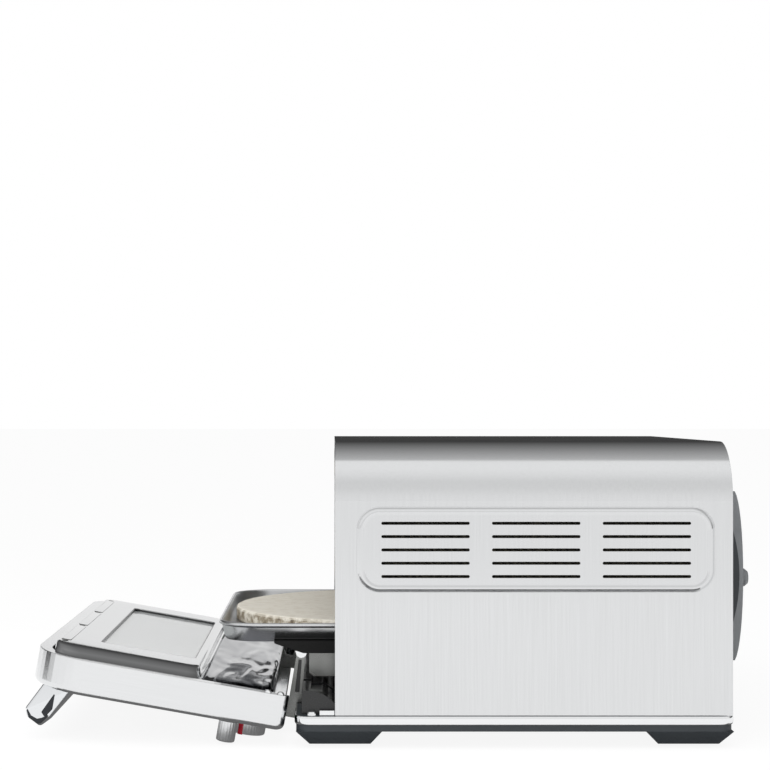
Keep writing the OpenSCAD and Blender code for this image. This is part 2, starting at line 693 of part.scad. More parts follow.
module deck_rollers() on_deck() color(satin_steel) both_sides()
    for (y = roller_places()) translate([web_x - 2, y, rail_top + gap + roller_r]) rotate([0, 90, 0]) {
        cylinder(r = roller_pin_r, h = 4);
        translate([0, 0, 3.7]) cylinder(r = roller_r, h = 6);
    }

// The grey plates that the hinge levers draw, each with an eye where the link would be pinned
bracket_x = lever_x - 9;
bracket_t = 2;
bracket_y = deck_travel - 24;
module deck_brackets() on_deck() color(satin_steel) both_sides() difference() {
    translate([0, 0, tray_z]) sideways(bracket_x, bracket_t)
        polygon([[bracket_y, -33], [bracket_y + 4, -36.5], [bracket_y + 44, -36.5], [bracket_y + 49, -31],
                 [bracket_y + 49, -1.5], [bracket_y - 20, -1.5], [bracket_y, -10]]);
    translate([bracket_x - 1, bracket_y + 36, tray_z - 22]) rotate([0, 90, 0]) cylinder(r = 3, h = 5);
}

/* The door, drawn closed */

// One ring of the door's outline at y, taken in all round
function door_ring(y, inset) = [
    for (p = panel_points(body_w - 2 * inset, door_h - 2 * inset, corner_r - inset, door_foot_r - inset))
        [p.x, y, p.y + door_z + inset]];

// The door's outer form, with its front edge rounded, or its hollow, taken in by the sheet
module door_form(inset, back) {
    r = door_edge_r - inset / 2;
    loft(concat([door_ring(back, inset)], [for (a = [0 : 15 : 90])
        door_ring(door_face + inset + r * (1 - sin(a)), inset + r * (1 - cos(a)))]));
}

function control_places() = [[dial_x, dial_u], [0, dial_u], [-dial_x, dial_u], [knob_x, knob_u]];
socket_r = 6;

module window_2d(grow) translate([0, window_u + window_h / 2])
    rounded_2d(window_w + 2 * grow, window_h + 2 * grow, 8 + grow);

module door_shell() on_door() color(satin_steel) difference() {
    door_form(0, rim_y);
    door_form(door_sheet, rim_y - door_sheet);
    translate([0, 0, door_z + rim_w]) upright(rim_y - 5, 10)
        panel_2d(body_w - 2 * rim_w, door_h - 2 * rim_w, corner_r - rim_w, 4);
    // The foot is open, to pass round the sill
    translate([-sill_w / 2 - 1, door_face + door_sheet + 0.1, door_z - 1])
        cube([sill_w + 2, door_t + 2, rim_w + 3]);
    translate([0, 0, door_z]) upright(door_face - 1, 4) window_2d(0);
    for (p = control_places()) translate([p.x, door_face - 1, door_z + p.y]) rotate([-90, 0, 0])
        cylinder(r = socket_r + fit, h = 4);
    for (p = door_screw_places()) translate([p.x, rim_y - 3, door_z + p.y]) rotate([-90, 0, 0])
        cylinder(r = screw_r + fit, h = 4);
}

function door_screw_places() = [for (s = [-1, 1], u = [8, 19.5]) [s * (body_w / 2 - 4.6), u]];
module door_screws() on_door() color(bright_steel)
    for (p = door_screw_places()) translate([p.x, rim_y, door_z + p.y]) rotate([-90, 0, 0]) {
        translate([0, 0, -4]) cylinder(r = screw_r, h = 4);
        rotate_extrude() polygon([[0, 0], [3.2, 0], [3, 1.2], [2.2, 2.2], [0, 2.7]]);
    }

// The dark plate behind the inner panels
frame_back = rim_y - 6.3;
relief_w = cavity_w - 190;
module door_inner_frame() on_door() color(black_enamel) difference() {
    translate([0, 0, door_z + 14.5]) upright(frame_back - 1.2, 1.2)
        panel_2d(body_w - 2 * door_sheet - 0.4, door_h - 14.5 - door_sheet - 0.2, corner_r - door_sheet, 4);
    translate([0, 0, door_z]) upright(frame_back - 3, 6) window_2d(4);
    translate([-relief_w / 2, frame_back - 3, door_z + 24]) cube([relief_w, 6, 48]);
}

// The pressed inner panel: it swells from the rim to a flat field round the window
panel_w = body_w - 88;
panel_h = door_h - panel_u - 13.5;
panel_r = 14;
panel_skirt = rim_w + 2;
skirt_y = frame_back + 4;
swell_h = rim_y + panel_out - skirt_y;
window_w = panel_w - 2 * window_side;
swell = [[0, 0], [0.25, 0.1], [0.5, 0.5], [0.75, 0.9], [1, 1]];
function panel_ring(step, inset) = let (
    w = body_w - 2 * panel_skirt - step[0] * (body_w - 2 * panel_skirt - panel_w),
    foot = panel_u - 6 + 6 * step[0],
    top = door_h - panel_skirt - step[0] * (door_h - panel_skirt - panel_u - panel_h),
    r = corner_r - panel_skirt - step[0] * (corner_r - panel_skirt - panel_r))
    [for (p = panel_points(w - 2 * inset, top - foot - 2 * inset, r - inset, panel_r - inset))
        [-p.x, skirt_y + step[1] * swell_h - inset, p.y + foot + inset + door_z]];
module panel_form(inset) loft([for (step = concat([[0, (frame_back - skirt_y) / swell_h]], swell))
    panel_ring(step, inset)]);

pad_l = 105;
pad_pitch = pad_l + 9;
pad_u = panel_u + panel_h - 6;
module door_raised_panel() on_door() color(satin_steel) difference() {
    panel_form(0);
    panel_form(sheet_t);
    translate([0, 0, door_z]) {
        upright(frame_back - 1, 30) window_2d(0);
        // Shallow pads near the door's top, with a small air slot between each two
        for (i = [-1 : 1]) translate([0, 0, pad_u]) upright(rim_y + panel_out - 0.5, 2)
            translate([i * pad_pitch, 0]) rounded_2d(pad_l, 9, 2);
        for (i = [-1.5 : 1.5]) translate([i * pad_pitch - 2.5, frame_back, pad_u - 4]) cube([5, 20, 7]);
    }
}

module door_lower_panel() on_door() color(dark_steel) translate([0, 0, door_z]) difference() {
    upright(frame_back, 4.2) translate([0, 47]) rounded_2d(panel_w, 62, 8);
    upright(frame_back - 1, 4) translate([0, 47]) rounded_2d(panel_w - 3, 59, 7);
}

glass_t = 4;
module outer_glass() on_door() color("#9aa3a5") translate([0, 0, door_z])
    upright(door_face + door_sheet, glass_t) window_2d(8);
module inner_glass() on_door() color("#d5dadb") translate([0, 0, door_z])
    upright(rim_y + panel_out - sheet_t - 2 - glass_t, glass_t) window_2d(4);
module window_gasket() on_door() color(rubber_black) translate([0, 0, door_z])
    upright(rim_y + panel_out - sheet_t - 2, 2) difference() {
        window_2d(4);
        window_2d(-2.5);
    }

/* Handle and controls */

// The bar's side view: x runs out along its slant, y across it, from the given length
function handle_outline(from) = [
    [from, -handle_t / 2], [handle_out - 12, -handle_t / 2], [handle_out - 2, -handle_t / 2 + 4],
    [handle_out, handle_t / 2 - 5], [handle_out - 5, handle_t / 2], [from, handle_t / 2]];

module handle_bar_2d(from)
    translate([door_face, door_z + handle_u]) rotate(180 - handle_tilt) mirror([0, 1])
        polygon(handle_outline(from));

mount_w = 22;
bar_from = 19;
module handle_bar() on_door() color(bright_steel)
    sideways(-handle_l / 2 + mount_w, handle_l - 2 * mount_w) handle_bar_2d(bar_from);

module handle_mounts() on_door() color(bright_steel) both_sides() difference() {
    sideways(handle_l / 2 - mount_w, mount_w) handle_bar_2d(-12);
    translate([0, door_face, door_z]) cube([body_w, 30, door_h]);
}

// One control's base: a flange on the door and a bush through it
module socket(flange) rotate([90, 0, 0]) difference() {
    union() {
        cylinder(r = flange, h = 2);
        translate([0, 0, -7]) cylinder(r = socket_r, h = 8);
    }
    translate([0, 0, -8]) cylinder(r = shaft_r + fit, h = 12);
}
module dial_sockets() on_door() color(black_enamel)
    for (p = control_places()) translate([p.x, door_face, door_z + p.y])
        socket(p.x == knob_x ? 13 : dial_r + 1);

board_y = door_face + 7;
module control_board() on_door() color("#2f6b46") {
    for (span = [[-dial_x - 23, 36], [-dial_x + 40, 2 * dial_x - 80], [dial_x - 13, 54]])
        translate([span[0], board_y, door_z + 22]) cube([span[1], 1.6, 44]);
    for (x = [-dial_x, 0]) translate([x - 7, board_y + 1.6, door_z + dial_u - 7]) cube([14, 7, 14]);
    translate([dial_x - 7, board_y + 1.6, door_z + dial_u - 7]) cube([14, 7, 14]);
    translate([knob_x - 7, board_y + 1.6, door_z + knob_u - 7]) cube([14, 7, 14]);
}

// A ribbed grip: a wavy outline worked out from the number of ribs
function ribbed(r, ribs, depth) = [for (i = [0 : 4 * ribs - 1])
    let (a = i * 90 / ribs) (r - depth / 2 + depth / 2 * cos(ribs * a)) * [cos(a), sin(a)]];

module dial(r, length, ribs) rotate([90, 0, 0]) difference() {
    union() {
        translate([0, 0, 2.3]) linear_extrude(length - 2) polygon(ribbed(r - 0.6, ribs, 0.8));
        translate([0, 0, 2.3]) cylinder(r = r, h = 2.5, $fn = 72);
        translate([0, 0, length + 0.3]) rotate_extrude($fn = 72)
            polygon([[0, 0], [r - 0.8, 0], [r - 1.2, 1.2], [r - 2.4, 2], [r - 5, 2], [r - 6, 1.6], [0, 1.6]]);
        translate([0, 0, -6]) cylinder(r = shaft_r, h = 9);
    }
    // The pointer's groove
    translate([0, r - 3, length + 3]) cube([1.6, 7, 3], center = true);
}
module at_control(x, u) on_door() translate([x, door_face, door_z + u]) children();
module right_dial() color(satin_steel) at_control(dial_x, dial_u) dial(dial_r, dial_l, 28);
module centre_dial() color(satin_steel) at_control(0, dial_u) dial(dial_r, dial_l, 28);
module left_dial() color(satin_steel) at_control(-dial_x, dial_u) dial(dial_r, dial_l, 28);
module side_knob() color(satin_steel) at_control(knob_x, knob_u) dial(knob_r, knob_l, 16);

/* The hinge levers */

// Where the ball sits from the hinge axis, with the door closed
ball_y = 55;
ball_z = 16.2;
ball_r = 5;
module hinge_levers() on_door() color(bright_steel) both_sides() difference() {
    sideways(lever_x - lever_t / 2, lever_t) translate([-hinge_ahead, hinge_z]) union() {
        circle(6.5);
        // The arm that goes up into the door
        polygon([[-5.9, 0], [-5.9, 52], [2, 58], [16, 58], [16, 36], [7.5, 30], [6.3, 0]]);
        // The prong that reaches under the deck
        polygon([[2, 5], [16, 8], [ball_y, ball_z - 4], [ball_y + 1, ball_z], [ball_y, ball_z + 4],
                 [12, 20], [4, 26]]);
    }
    // The slot between the prong's two bars
    sideways(lever_x - lever_t, 2 * lever_t) translate([-hinge_ahead, hinge_z])
        polygon([[18, 11.6], [ball_y - 7, ball_z - 1.6], [ball_y - 7, ball_z + 1.2], [18, 15.6]]);
    translate([0, -hinge_ahead, hinge_z]) rotate([0, 90, 0])
        cylinder(r = hinge_pin_r + fit, h = body_w / 2);
    translate([0, ball_y - hinge_ahead, hinge_z + ball_z]) rotate([0, 90, 0])
        cylinder(r = 2 + fit, h = body_w / 2);
}
// The balls whose links to the deck's plates are left open
module lever_rollers() on_door() color(bright_steel) both_sides()
    translate([lever_x, ball_y - hinge_ahead, hinge_z + ball_z]) rotate([0, 90, 0]) {
        translate([0, 0, -lever_t / 2 - 1]) cylinder(r = 2, h = lever_t + 4);
        translate([0, 0, lever_t / 2 + 0.05]) cylinder(r = ball_r, h = 3);
        translate([0, 0, -lever_t / 2 - 1.5]) cylinder(r = 3.5, h = 1.4);
    }

base_tray();
base_trim();
foot_pads();
hinge_pins();
front_sill();
sill_screws();
face_plate();
outer_wrapper();
cavity_liner();
insulation_blanket();
deck_rails();
upper_element();
lower_element();
element_terminals();
heat_reflector();
temperature_probe();
door_seal();
rear_panel();
rear_cover();
wall_spacers();
cord_inlet();
power_board();
fan_housing();
fan_rotor();
rear_screws();
base_screws();
deck_tray();
pizza_stone();
deck_underframe();
deck_brackets();
deck_rollers();
door_shell();
door_inner_frame();
door_lower_panel();
door_raised_panel();
outer_glass();
inner_glass();
window_gasket();
door_screws();
handle_bar();
handle_mounts();
hinge_levers();
lever_rollers();
control_board();
dial_sockets();
right_dial();
centre_dial();
left_dial();
side_knob();
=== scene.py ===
"""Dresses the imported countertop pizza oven: finishes, pieces modelled over its solids, studio and camera.

The cast handle, trim band, tray, underframe, door pressings, window bead and controls stand for plainer
solids, and every other solid is shown as it is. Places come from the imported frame. Sizes of the oven are in
millimetres, and those of the studio in metres.
"""

import logging
import math
from dataclasses import dataclass
from enum import Enum

import bmesh
import bpy
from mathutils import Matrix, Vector


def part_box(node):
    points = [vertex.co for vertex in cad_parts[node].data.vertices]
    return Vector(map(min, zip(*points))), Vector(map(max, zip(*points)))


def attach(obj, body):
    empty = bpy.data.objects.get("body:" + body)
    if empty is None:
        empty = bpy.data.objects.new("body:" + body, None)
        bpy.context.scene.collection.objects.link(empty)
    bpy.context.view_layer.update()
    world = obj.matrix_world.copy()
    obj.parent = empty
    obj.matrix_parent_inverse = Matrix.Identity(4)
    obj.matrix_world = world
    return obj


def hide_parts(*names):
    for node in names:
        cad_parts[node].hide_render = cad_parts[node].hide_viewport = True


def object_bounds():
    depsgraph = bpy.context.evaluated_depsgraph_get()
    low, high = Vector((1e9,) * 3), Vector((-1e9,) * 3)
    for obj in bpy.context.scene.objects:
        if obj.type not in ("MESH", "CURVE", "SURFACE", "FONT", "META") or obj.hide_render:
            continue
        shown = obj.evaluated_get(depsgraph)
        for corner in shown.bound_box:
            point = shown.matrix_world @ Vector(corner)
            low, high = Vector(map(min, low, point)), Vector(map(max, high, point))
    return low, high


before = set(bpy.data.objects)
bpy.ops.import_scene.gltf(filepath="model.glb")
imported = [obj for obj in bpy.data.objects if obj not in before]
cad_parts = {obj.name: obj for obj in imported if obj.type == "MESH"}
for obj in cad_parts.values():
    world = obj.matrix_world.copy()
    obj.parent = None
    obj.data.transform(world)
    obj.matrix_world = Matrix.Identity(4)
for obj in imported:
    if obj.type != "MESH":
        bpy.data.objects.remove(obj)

LOG = logging.getLogger("pizza_oven")
MM = 0.001
IMAGE_PX = 770


def plain_box() -> list[list[float]]:
    """Give the shown object's outer box.

    Returns:
        The lowest and the highest corner, as plain lists of metres.
    """
    low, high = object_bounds()
    return [list(low), list(high)]


CAD_BOX = plain_box()


# ---------------------------------------------------------------- colours and nodes


Tree = bpy.types.NodeTree
Socket = bpy.types.NodeSocket
Pair = tuple[float, float]
Place = tuple[float, float, float]
Colour = tuple[float, float, float, float]

# A noise seldom leaves this range, and no metal is smoother than the last value
NOISE_LOW = 0.3
NOISE_HIGH = 0.7
SHARPEST = 0.02
# Rays that round an edge to the eye
BEVEL_SAMPLES = 4


def linear(code: str) -> Colour:
    """Turn an sRGB hex colour to linear.

    Args:
        code: The colour as six hex digits after a hash.

    Returns:
        Linear red, green and blue, and full opacity.
    """
    parts = [int(code[i:i + 2], 16) / 255 for i in (1, 3, 5)]
    return (*[p / 12.92 if p <= 0.04045 else ((p + 0.055) / 1.055) ** 2.4 for p in parts], 1.0)


def darker(code: str, share: float) -> Colour:
    """Give a darker shade of a colour.

    Args:
        code: The colour, in hex.
        share: How much darker it is, from 0 to 1.

    Returns:
        The shade, as linear gives it.
    """
    return (*[part * (1 - share) for part in linear(code)[:3]], 1.0)


def grey(value: float) -> Colour:
    """Give a linear grey."""
    return (value, value, value, 1.0)


def grains(size_mm: float) -> float:
    """Give the texture scale whose grains have a size in millimetres."""
    return 1 / (size_mm * MM)


def fresh(name: str) -> tuple[bpy.types.Material, Tree, bpy.types.Node]:
    """Start a material.

    Args:
        name: The material's name.

    Returns:
        The material, its node tree and its shader.
    """
    material = bpy.data.materials.new(name)
    material.use_nodes = True
    tree = material.node_tree
    return material, tree, tree.nodes["Principled BSDF"]


def add(tree: Tree, kind: str, inputs: dict | None = None, stops: list[tuple[float, Colour]] | None = None,
        **settings: object) -> bpy.types.Node:
    """Add one shader node.

    Args:
        tree: The tree that the node goes into.
        kind: The node's type name.
        inputs: For each input, by name or number, a value or the output to link from.
        stops: A colour ramp's places, from 0 to 1, each with a linear colour.
        **settings: The node's own settings.

    Returns:
        The new node.
    """
    node = tree.nodes.new(kind)
    for name, value in settings.items():
        setattr(node, name, value)
    for name, value in (inputs or {}).items():
        if isinstance(value, Socket):
            tree.links.new(value, node.inputs[name])
        else:
            node.inputs[name].default_value = value
    if stops:
        band = node.color_ramp
        while len(band.elements) < len(stops):
            band.elements.new(0.5)
        for element, (place, colour) in zip(band.elements, stops):
            element.position, element.color = place, colour
    return node


def join(tree: Tree, node: bpy.types.Node, links: dict[str, Socket]) -> None:
    """Link outputs to a node's inputs.

    Args:
        tree: The tree that holds them.
        node: The node that they go to.
        links: The output for each input's name.
    """
    for name, socket in links.items():
        tree.links.new(socket, node.inputs[name])


def rays_of(tree: Tree, *kinds: str) -> Socket:
    """Tell rays of the given kinds from all others.

    Args:
        tree: The tree that the nodes go into.
        *kinds: The kinds, as Light Path names them.

    Returns:
        1 where the ray is of one of the kinds, else 0.
    """
    path = add(tree, "ShaderNodeLightPath")
    found = path.outputs[kinds[0]]
    for kind in kinds[1:]:
        found = add(tree, "ShaderNodeMath", {0: found, 1: path.outputs[kind]}, operation="MAXIMUM").outputs[0]
    return found


class Grain(Enum):
    """The way that a metal's brush lines run, in the object's frame."""

    NONE = (1.0, 1.0, 1.0)
    ALONG_X = (0.012, 1.0, 1.0)
    ALONG_Y = (1.0, 0.012, 1.0)
    ALONG_Z = (1.0, 1.0, 0.012)


class Tilt(Enum):
    """How a finish is turned about X: as the oven stands, or as its open door lies."""

    LEVEL = 0.0
    DOOR = 80.0


# ---------------------------------------------------------------- finishes


@dataclass(frozen=True)
class Metal:
    """A bare or polished metal sheet with brush lines and faint clouding.

    Attributes:
        name: The material's name.
        colour: Its reflection colour.
        roughness: Its mean roughness.
        grain: The way its brush lines run.
        grain_mm: The distance between brush lines, coarser than the real 0.1 mm so that they show.
        depth: The strength of the lines' relief.
        shade: How much the lines darken the colour.
        cloud: How much the roughness drifts over the surface.
        cloud_mm: The size of that drift.
        tilt: Whether the finish lies with the open door.
        edge_mm: The radius that the eye sees on an edge.
        line_mm: The height of the brush lines.
        dent_mm: The height of the pressed sheet's waves, or 0 where it is flat.
        wave_mm: The distance between those waves along the door.
        wave_stretch: How many times longer they are across it.
    """

    name: str
    colour: str
    roughness: float
    grain: Grain = Grain.NONE
    grain_mm: float = 0.9
    depth: float = 0.0
    shade: float = 0.0
    cloud: float = 0.04
    cloud_mm: float = 60.0
    tilt: Tilt = Tilt.LEVEL
    edge_mm: float = 0.6
    line_mm: float = 0.05
    dent_mm: float = 0.0
    wave_mm: float = 18.0
    wave_stretch: float = 4.0

    def build(self) -> bpy.types.Material:
        """Make the material.

        Returns:
            The material.
        """
        material, tree, shader = fresh(self.name)
        place = add(tree, "ShaderNodeTexCoord").outputs["Object"]
        turned = add(tree, "ShaderNodeMapping", {"Vector": place,
                     "Rotation": (math.radians(-self.tilt.value), 0, 0)})
        drawn = add(tree, "ShaderNodeMapping", {"Vector": turned.outputs[0], "Scale": self.grain.value})
        lines = add(tree, "ShaderNodeTexNoise", {"Vector": drawn.outputs[0], "Scale": grains(self.grain_mm),
                    "Detail": 3.0, "Roughness": 0.65})
        drift = add(tree, "ShaderNodeTexNoise", {"Vector": place, "Scale": grains(self.cloud_mm),
                    "Detail": 2.0})
        tone = add(tree, "ShaderNodeValToRGB", {"Fac": lines.outputs["Fac"]},
                   [(NOISE_LOW, darker(self.colour, self.shade)), (NOISE_HIGH, linear(self.colour))])
        rough = add(tree, "ShaderNodeMapRange", {"Value": drift.outputs["Fac"],
                    "From Min": NOISE_LOW, "To Min": max(self.roughness - self.cloud, SHARPEST),
                    "From Max": NOISE_HIGH, "To Max": self.roughness + self.cloud})
        form = add(tree, "ShaderNodeBevel", {"Radius": self.edge_mm * MM}, samples=BEVEL_SAMPLES)
        if self.dent_mm:
            spread = add(tree, "ShaderNodeMapping", {"Vector": turned.outputs[0],
                         "Scale": (1 / self.wave_stretch, 1.0, 1.0)})
            waves = add(tree, "ShaderNodeTexNoise", {"Vector": spread.outputs[0],
                        "Scale": grains(self.wave_mm), "Detail": 1.0, "Distortion": 0.3})
            form = add(tree, "ShaderNodeBump", {"Height": waves.outputs["Fac"],
                       "Distance": self.dent_mm * MM, "Normal": form.outputs[0]})
        relief = add(tree, "ShaderNodeBump", {"Height": lines.outputs["Fac"], "Strength": self.depth,
                     "Distance": self.line_mm * MM, "Normal": form.outputs[0]})
        join(tree, shader, {"Base Color": tone.outputs[0], "Roughness": rough.outputs[0],
                            "Normal": relief.outputs[0]})
        shader.inputs["Metallic"].default_value = 1.0
        return material


@dataclass(frozen=True)
class Moulded:
    """A moulded or painted surface with a fine grain and slight colour drift.

    Attributes:
        name: The material's name.
        colour: Its colour.
        roughness: Its mean roughness.
        grit_mm: The size of its grain, coarser than the real 0.1 mm so that it shows.
        depth: The strength of the grain's relief.
        drift: How far the colour drifts.
        coat: The weight of a clear coat.
        edge_mm: The radius that the eye sees on an edge.
        height_mm: The grain's height.
        haze_mm: The size of the colour's drift.
        rough_drift: How far the grain moves the roughness.
    """

    name: str
    colour: str
    roughness: float
    grit_mm: float = 0.8
    depth: float = 0.15
    drift: float = 0.12
    coat: float = 0.0
    edge_mm: float = 0.8
    height_mm: float = 0.08
    haze_mm: float = 45.0
    rough_drift: float = 0.05

    def build(self) -> bpy.types.Material:
        """Make the material.

        Returns:
            The material.
        """
        material, tree, shader = fresh(self.name)
        place = add(tree, "ShaderNodeTexCoord").outputs["Object"]
        grit = add(tree, "ShaderNodeTexNoise", {"Vector": place, "Scale": grains(self.grit_mm),
                   "Detail": 2.0})
        haze = add(tree, "ShaderNodeTexNoise", {"Vector": place, "Scale": grains(self.haze_mm),
                   "Detail": 3.0})
        tone = add(tree, "ShaderNodeValToRGB", {"Fac": haze.outputs["Fac"]},
                   [(0.35, darker(self.colour, self.drift)), (0.65, linear(self.colour))])
        rough = add(tree, "ShaderNodeMapRange", {"Value": grit.outputs["Fac"],
                    "From Min": NOISE_LOW, "To Min": self.roughness - self.rough_drift,
                    "From Max": NOISE_HIGH, "To Max": self.roughness + self.rough_drift})
        edge = add(tree, "ShaderNodeBevel", {"Radius": self.edge_mm * MM}, samples=BEVEL_SAMPLES)
        relief = add(tree, "ShaderNodeBump", {"Height": grit.outputs["Fac"], "Strength": self.depth,
                     "Distance": self.height_mm * MM, "Normal": edge.outputs[0]})
        join(tree, shader, {"Base Color": tone.outputs[0], "Roughness": rough.outputs[0],
                            "Normal": relief.outputs[0]})
        shader.inputs["Coat Weight"].default_value = self.coat
        return material


@dataclass(frozen=True)
class Glass:
    """A toughened pane with the faintest smears, clear, or milky and pale as a painted sheen of the light
    seen through it.

    Attributes:
        name: The material's name.
        colour: The tint of the pane.
        through: The share of light that passes.
        smear_mm: The size of the smears.
        smear_rough: The roughness at their middle.
        bending: The glass's index of refraction.
    """

    name: str
    colour: str
    through: float = 1.0
    smear_mm: float = 30.0
    smear_rough: float = 0.05
    bending: float = 1.5

    def build(self) -> bpy.types.Material:
        """Make the material.

        Returns:
            The material.
        """
        material, tree, shader = fresh(self.name)
        place = add(tree, "ShaderNodeTexCoord").outputs["Object"]
        smears = add(tree, "ShaderNodeTexNoise", {"Vector": place, "Scale": grains(self.smear_mm),
                     "Detail": 3.0, "Distortion": 1.2})
        rough = add(tree, "ShaderNodeMapRange", {"Value": smears.outputs["Fac"], "From Min": 0.4,
                    "From Max": 0.8, "To Min": 0.0, "To Max": self.smear_rough})
        join(tree, shader, {"Roughness": rough.outputs[0]})
        shader.inputs["Base Color"].default_value = linear(self.colour)
        shader.inputs["Transmission Weight"].default_value = self.through
        shader.inputs["IOR"].default_value = self.bending
        return material


@dataclass(frozen=True)
class Cordierite:
    """Baked cordierite: a pale, dry disc with tan blotches on its side and fine pores.

    Attributes:
        name: The material's name.
        pale: The clean body.
        haze: The faint blotches on its upper face.
        tan: The tan blotches on the side.
        side_darkest: The darkest spots of the side.
        roughness: Its roughness.
        blotch_mm: The size of the blotches.
        pore_mm: The distance between pores, coarser than the real 0.5 mm so that they show.
        pit_mm: The depth of a pore.
        pit_strength: How much of that depth shows.
    """

    name: str = "cordierite_baked"
    pale: str = "#E9E4D8"
    haze: str = "#DCD5C6"
    tan: str = "#A39884"
    side_darkest: str = "#75695A"
    roughness: float = 0.85
    blotch_mm: float = 9.0
    pore_mm: float = 1.6
    pit_mm: float = 0.4
    pit_strength: float = 0.35

    def build(self) -> bpy.types.Material:
        """Make the material.

        Returns:
            The material.
        """
        material, tree, shader = fresh(self.name)
        place = add(tree, "ShaderNodeTexCoord").outputs["Object"]
        blotch = add(tree, "ShaderNodeTexNoise", {"Vector": place, "Scale": grains(self.blotch_mm),
                     "Detail": 5.0, "Roughness": 0.7})
        side = add(tree, "ShaderNodeValToRGB", {"Fac": blotch.outputs["Fac"]},
                   [(0.36, linear(self.side_darkest)), (0.47, linear(self.tan)), (0.62, linear(self.pale))])
        upper = add(tree, "ShaderNodeValToRGB", {"Fac": blotch.outputs["Fac"]},
                    [(0.3, linear(self.haze)), (0.55, linear(self.pale))])
        shape = add(tree, "ShaderNodeNewGeometry")
        facing = add(tree, "ShaderNodeSeparateXYZ", {"Vector": shape.outputs["Normal"]})
        tone = add(tree, "ShaderNodeMix", {0: facing.outputs["Z"], 6: side.outputs[0], 7: upper.outputs[0]},
                   data_type="RGBA")
        pores = add(tree, "ShaderNodeTexVoronoi", {"Vector": place, "Scale": grains(self.pore_mm)})
        relief = add(tree, "ShaderNodeBump", {"Height": pores.outputs["Distance"],
                     "Strength": self.pit_strength, "Distance": self.pit_mm * MM})
        join(tree, shader, {"Base Color": tone.outputs[2], "Normal": relief.outputs[0]})
        shader.inputs["Roughness"].default_value = self.roughness
        return material


@dataclass(frozen=True)
class Fibre:
    """Mineral wool or a woven glass braid: a pale tangle of fibres.

    Attributes:
        name: The material's name.
        light: The colour of the upper fibres.
        dark: The colour between them.
        strand_mm: The width of a strand, a little under half the distance between two.
        depth: The strength of the strands' relief.
        height_mm: Their height.
        roughness: Their roughness.
        band: The wave texture's scale at which a strand is one unit wide.
    """

    name: str
    light: str
    dark: str
    strand_mm: float = 2.0
    depth: float = 0.8
    height_mm: float = 0.6
    roughness: float = 0.95
    band: float = 0.16

    def build(self) -> bpy.types.Material:
        """Make the material.

        Returns:
            The material.
        """
        material, tree, shader = fresh(self.name)
        place = add(tree, "ShaderNodeTexCoord").outputs["Object"]
        strands = add(tree, "ShaderNodeTexWave", {"Vector": place,
                      "Scale": self.band * grains(self.strand_mm), "Distortion": 6.0, "Detail": 3.0},
                      bands_direction="DIAGONAL")
        tone = add(tree, "ShaderNodeValToRGB", {"Fac": strands.outputs["Fac"]},
                   [(0.2, linear(self.dark)), (0.8, linear(self.light))])
        relief = add(tree, "ShaderNodeBump", {"Height": strands.outputs["Fac"], "Strength": self.depth,
                     "Distance": self.height_mm * MM})
        join(tree, shader, {"Base Color": tone.outputs[0], "Normal": relief.outputs[0]})
        shader.inputs["Roughness"].default_value = self.roughness
        return material


@dataclass(frozen=True)
class Board:
    """A solder-masked circuit board with paler tracks.

    Attributes:
        name: The material's name.
        mask: The mask's green.
        track: The green over a track.
        roughness: Its roughness.
        track_mm: The distance between tracks.
    """

    name: str = "board_solder_masked"
    mask: str = "#1F5A3A"
    track: str = "#2F7A50"
    roughness: float = 0.35
    track_mm: float = 3.0

    def build(self) -> bpy.types.Material:
        """Make the material.

        Returns:
            The material.
        """
        material, tree, shader = fresh(self.name)
        place = add(tree, "ShaderNodeTexCoord").outputs["Object"]
        tracks = add(tree, "ShaderNodeTexVoronoi", {"Vector": place, "Scale": grains(self.track_mm)},
                     distance="CHEBYCHEV", feature="F1")
        tone = add(tree, "ShaderNodeValToRGB", {"Fac": tracks.outputs["Distance"]},
                   [(0.42, linear(self.mask)), (0.5, linear(self.track))])
        join(tree, shader, {"Base Color": tone.outputs[0]})
        shader.inputs["Roughness"].default_value = self.roughness
        return material


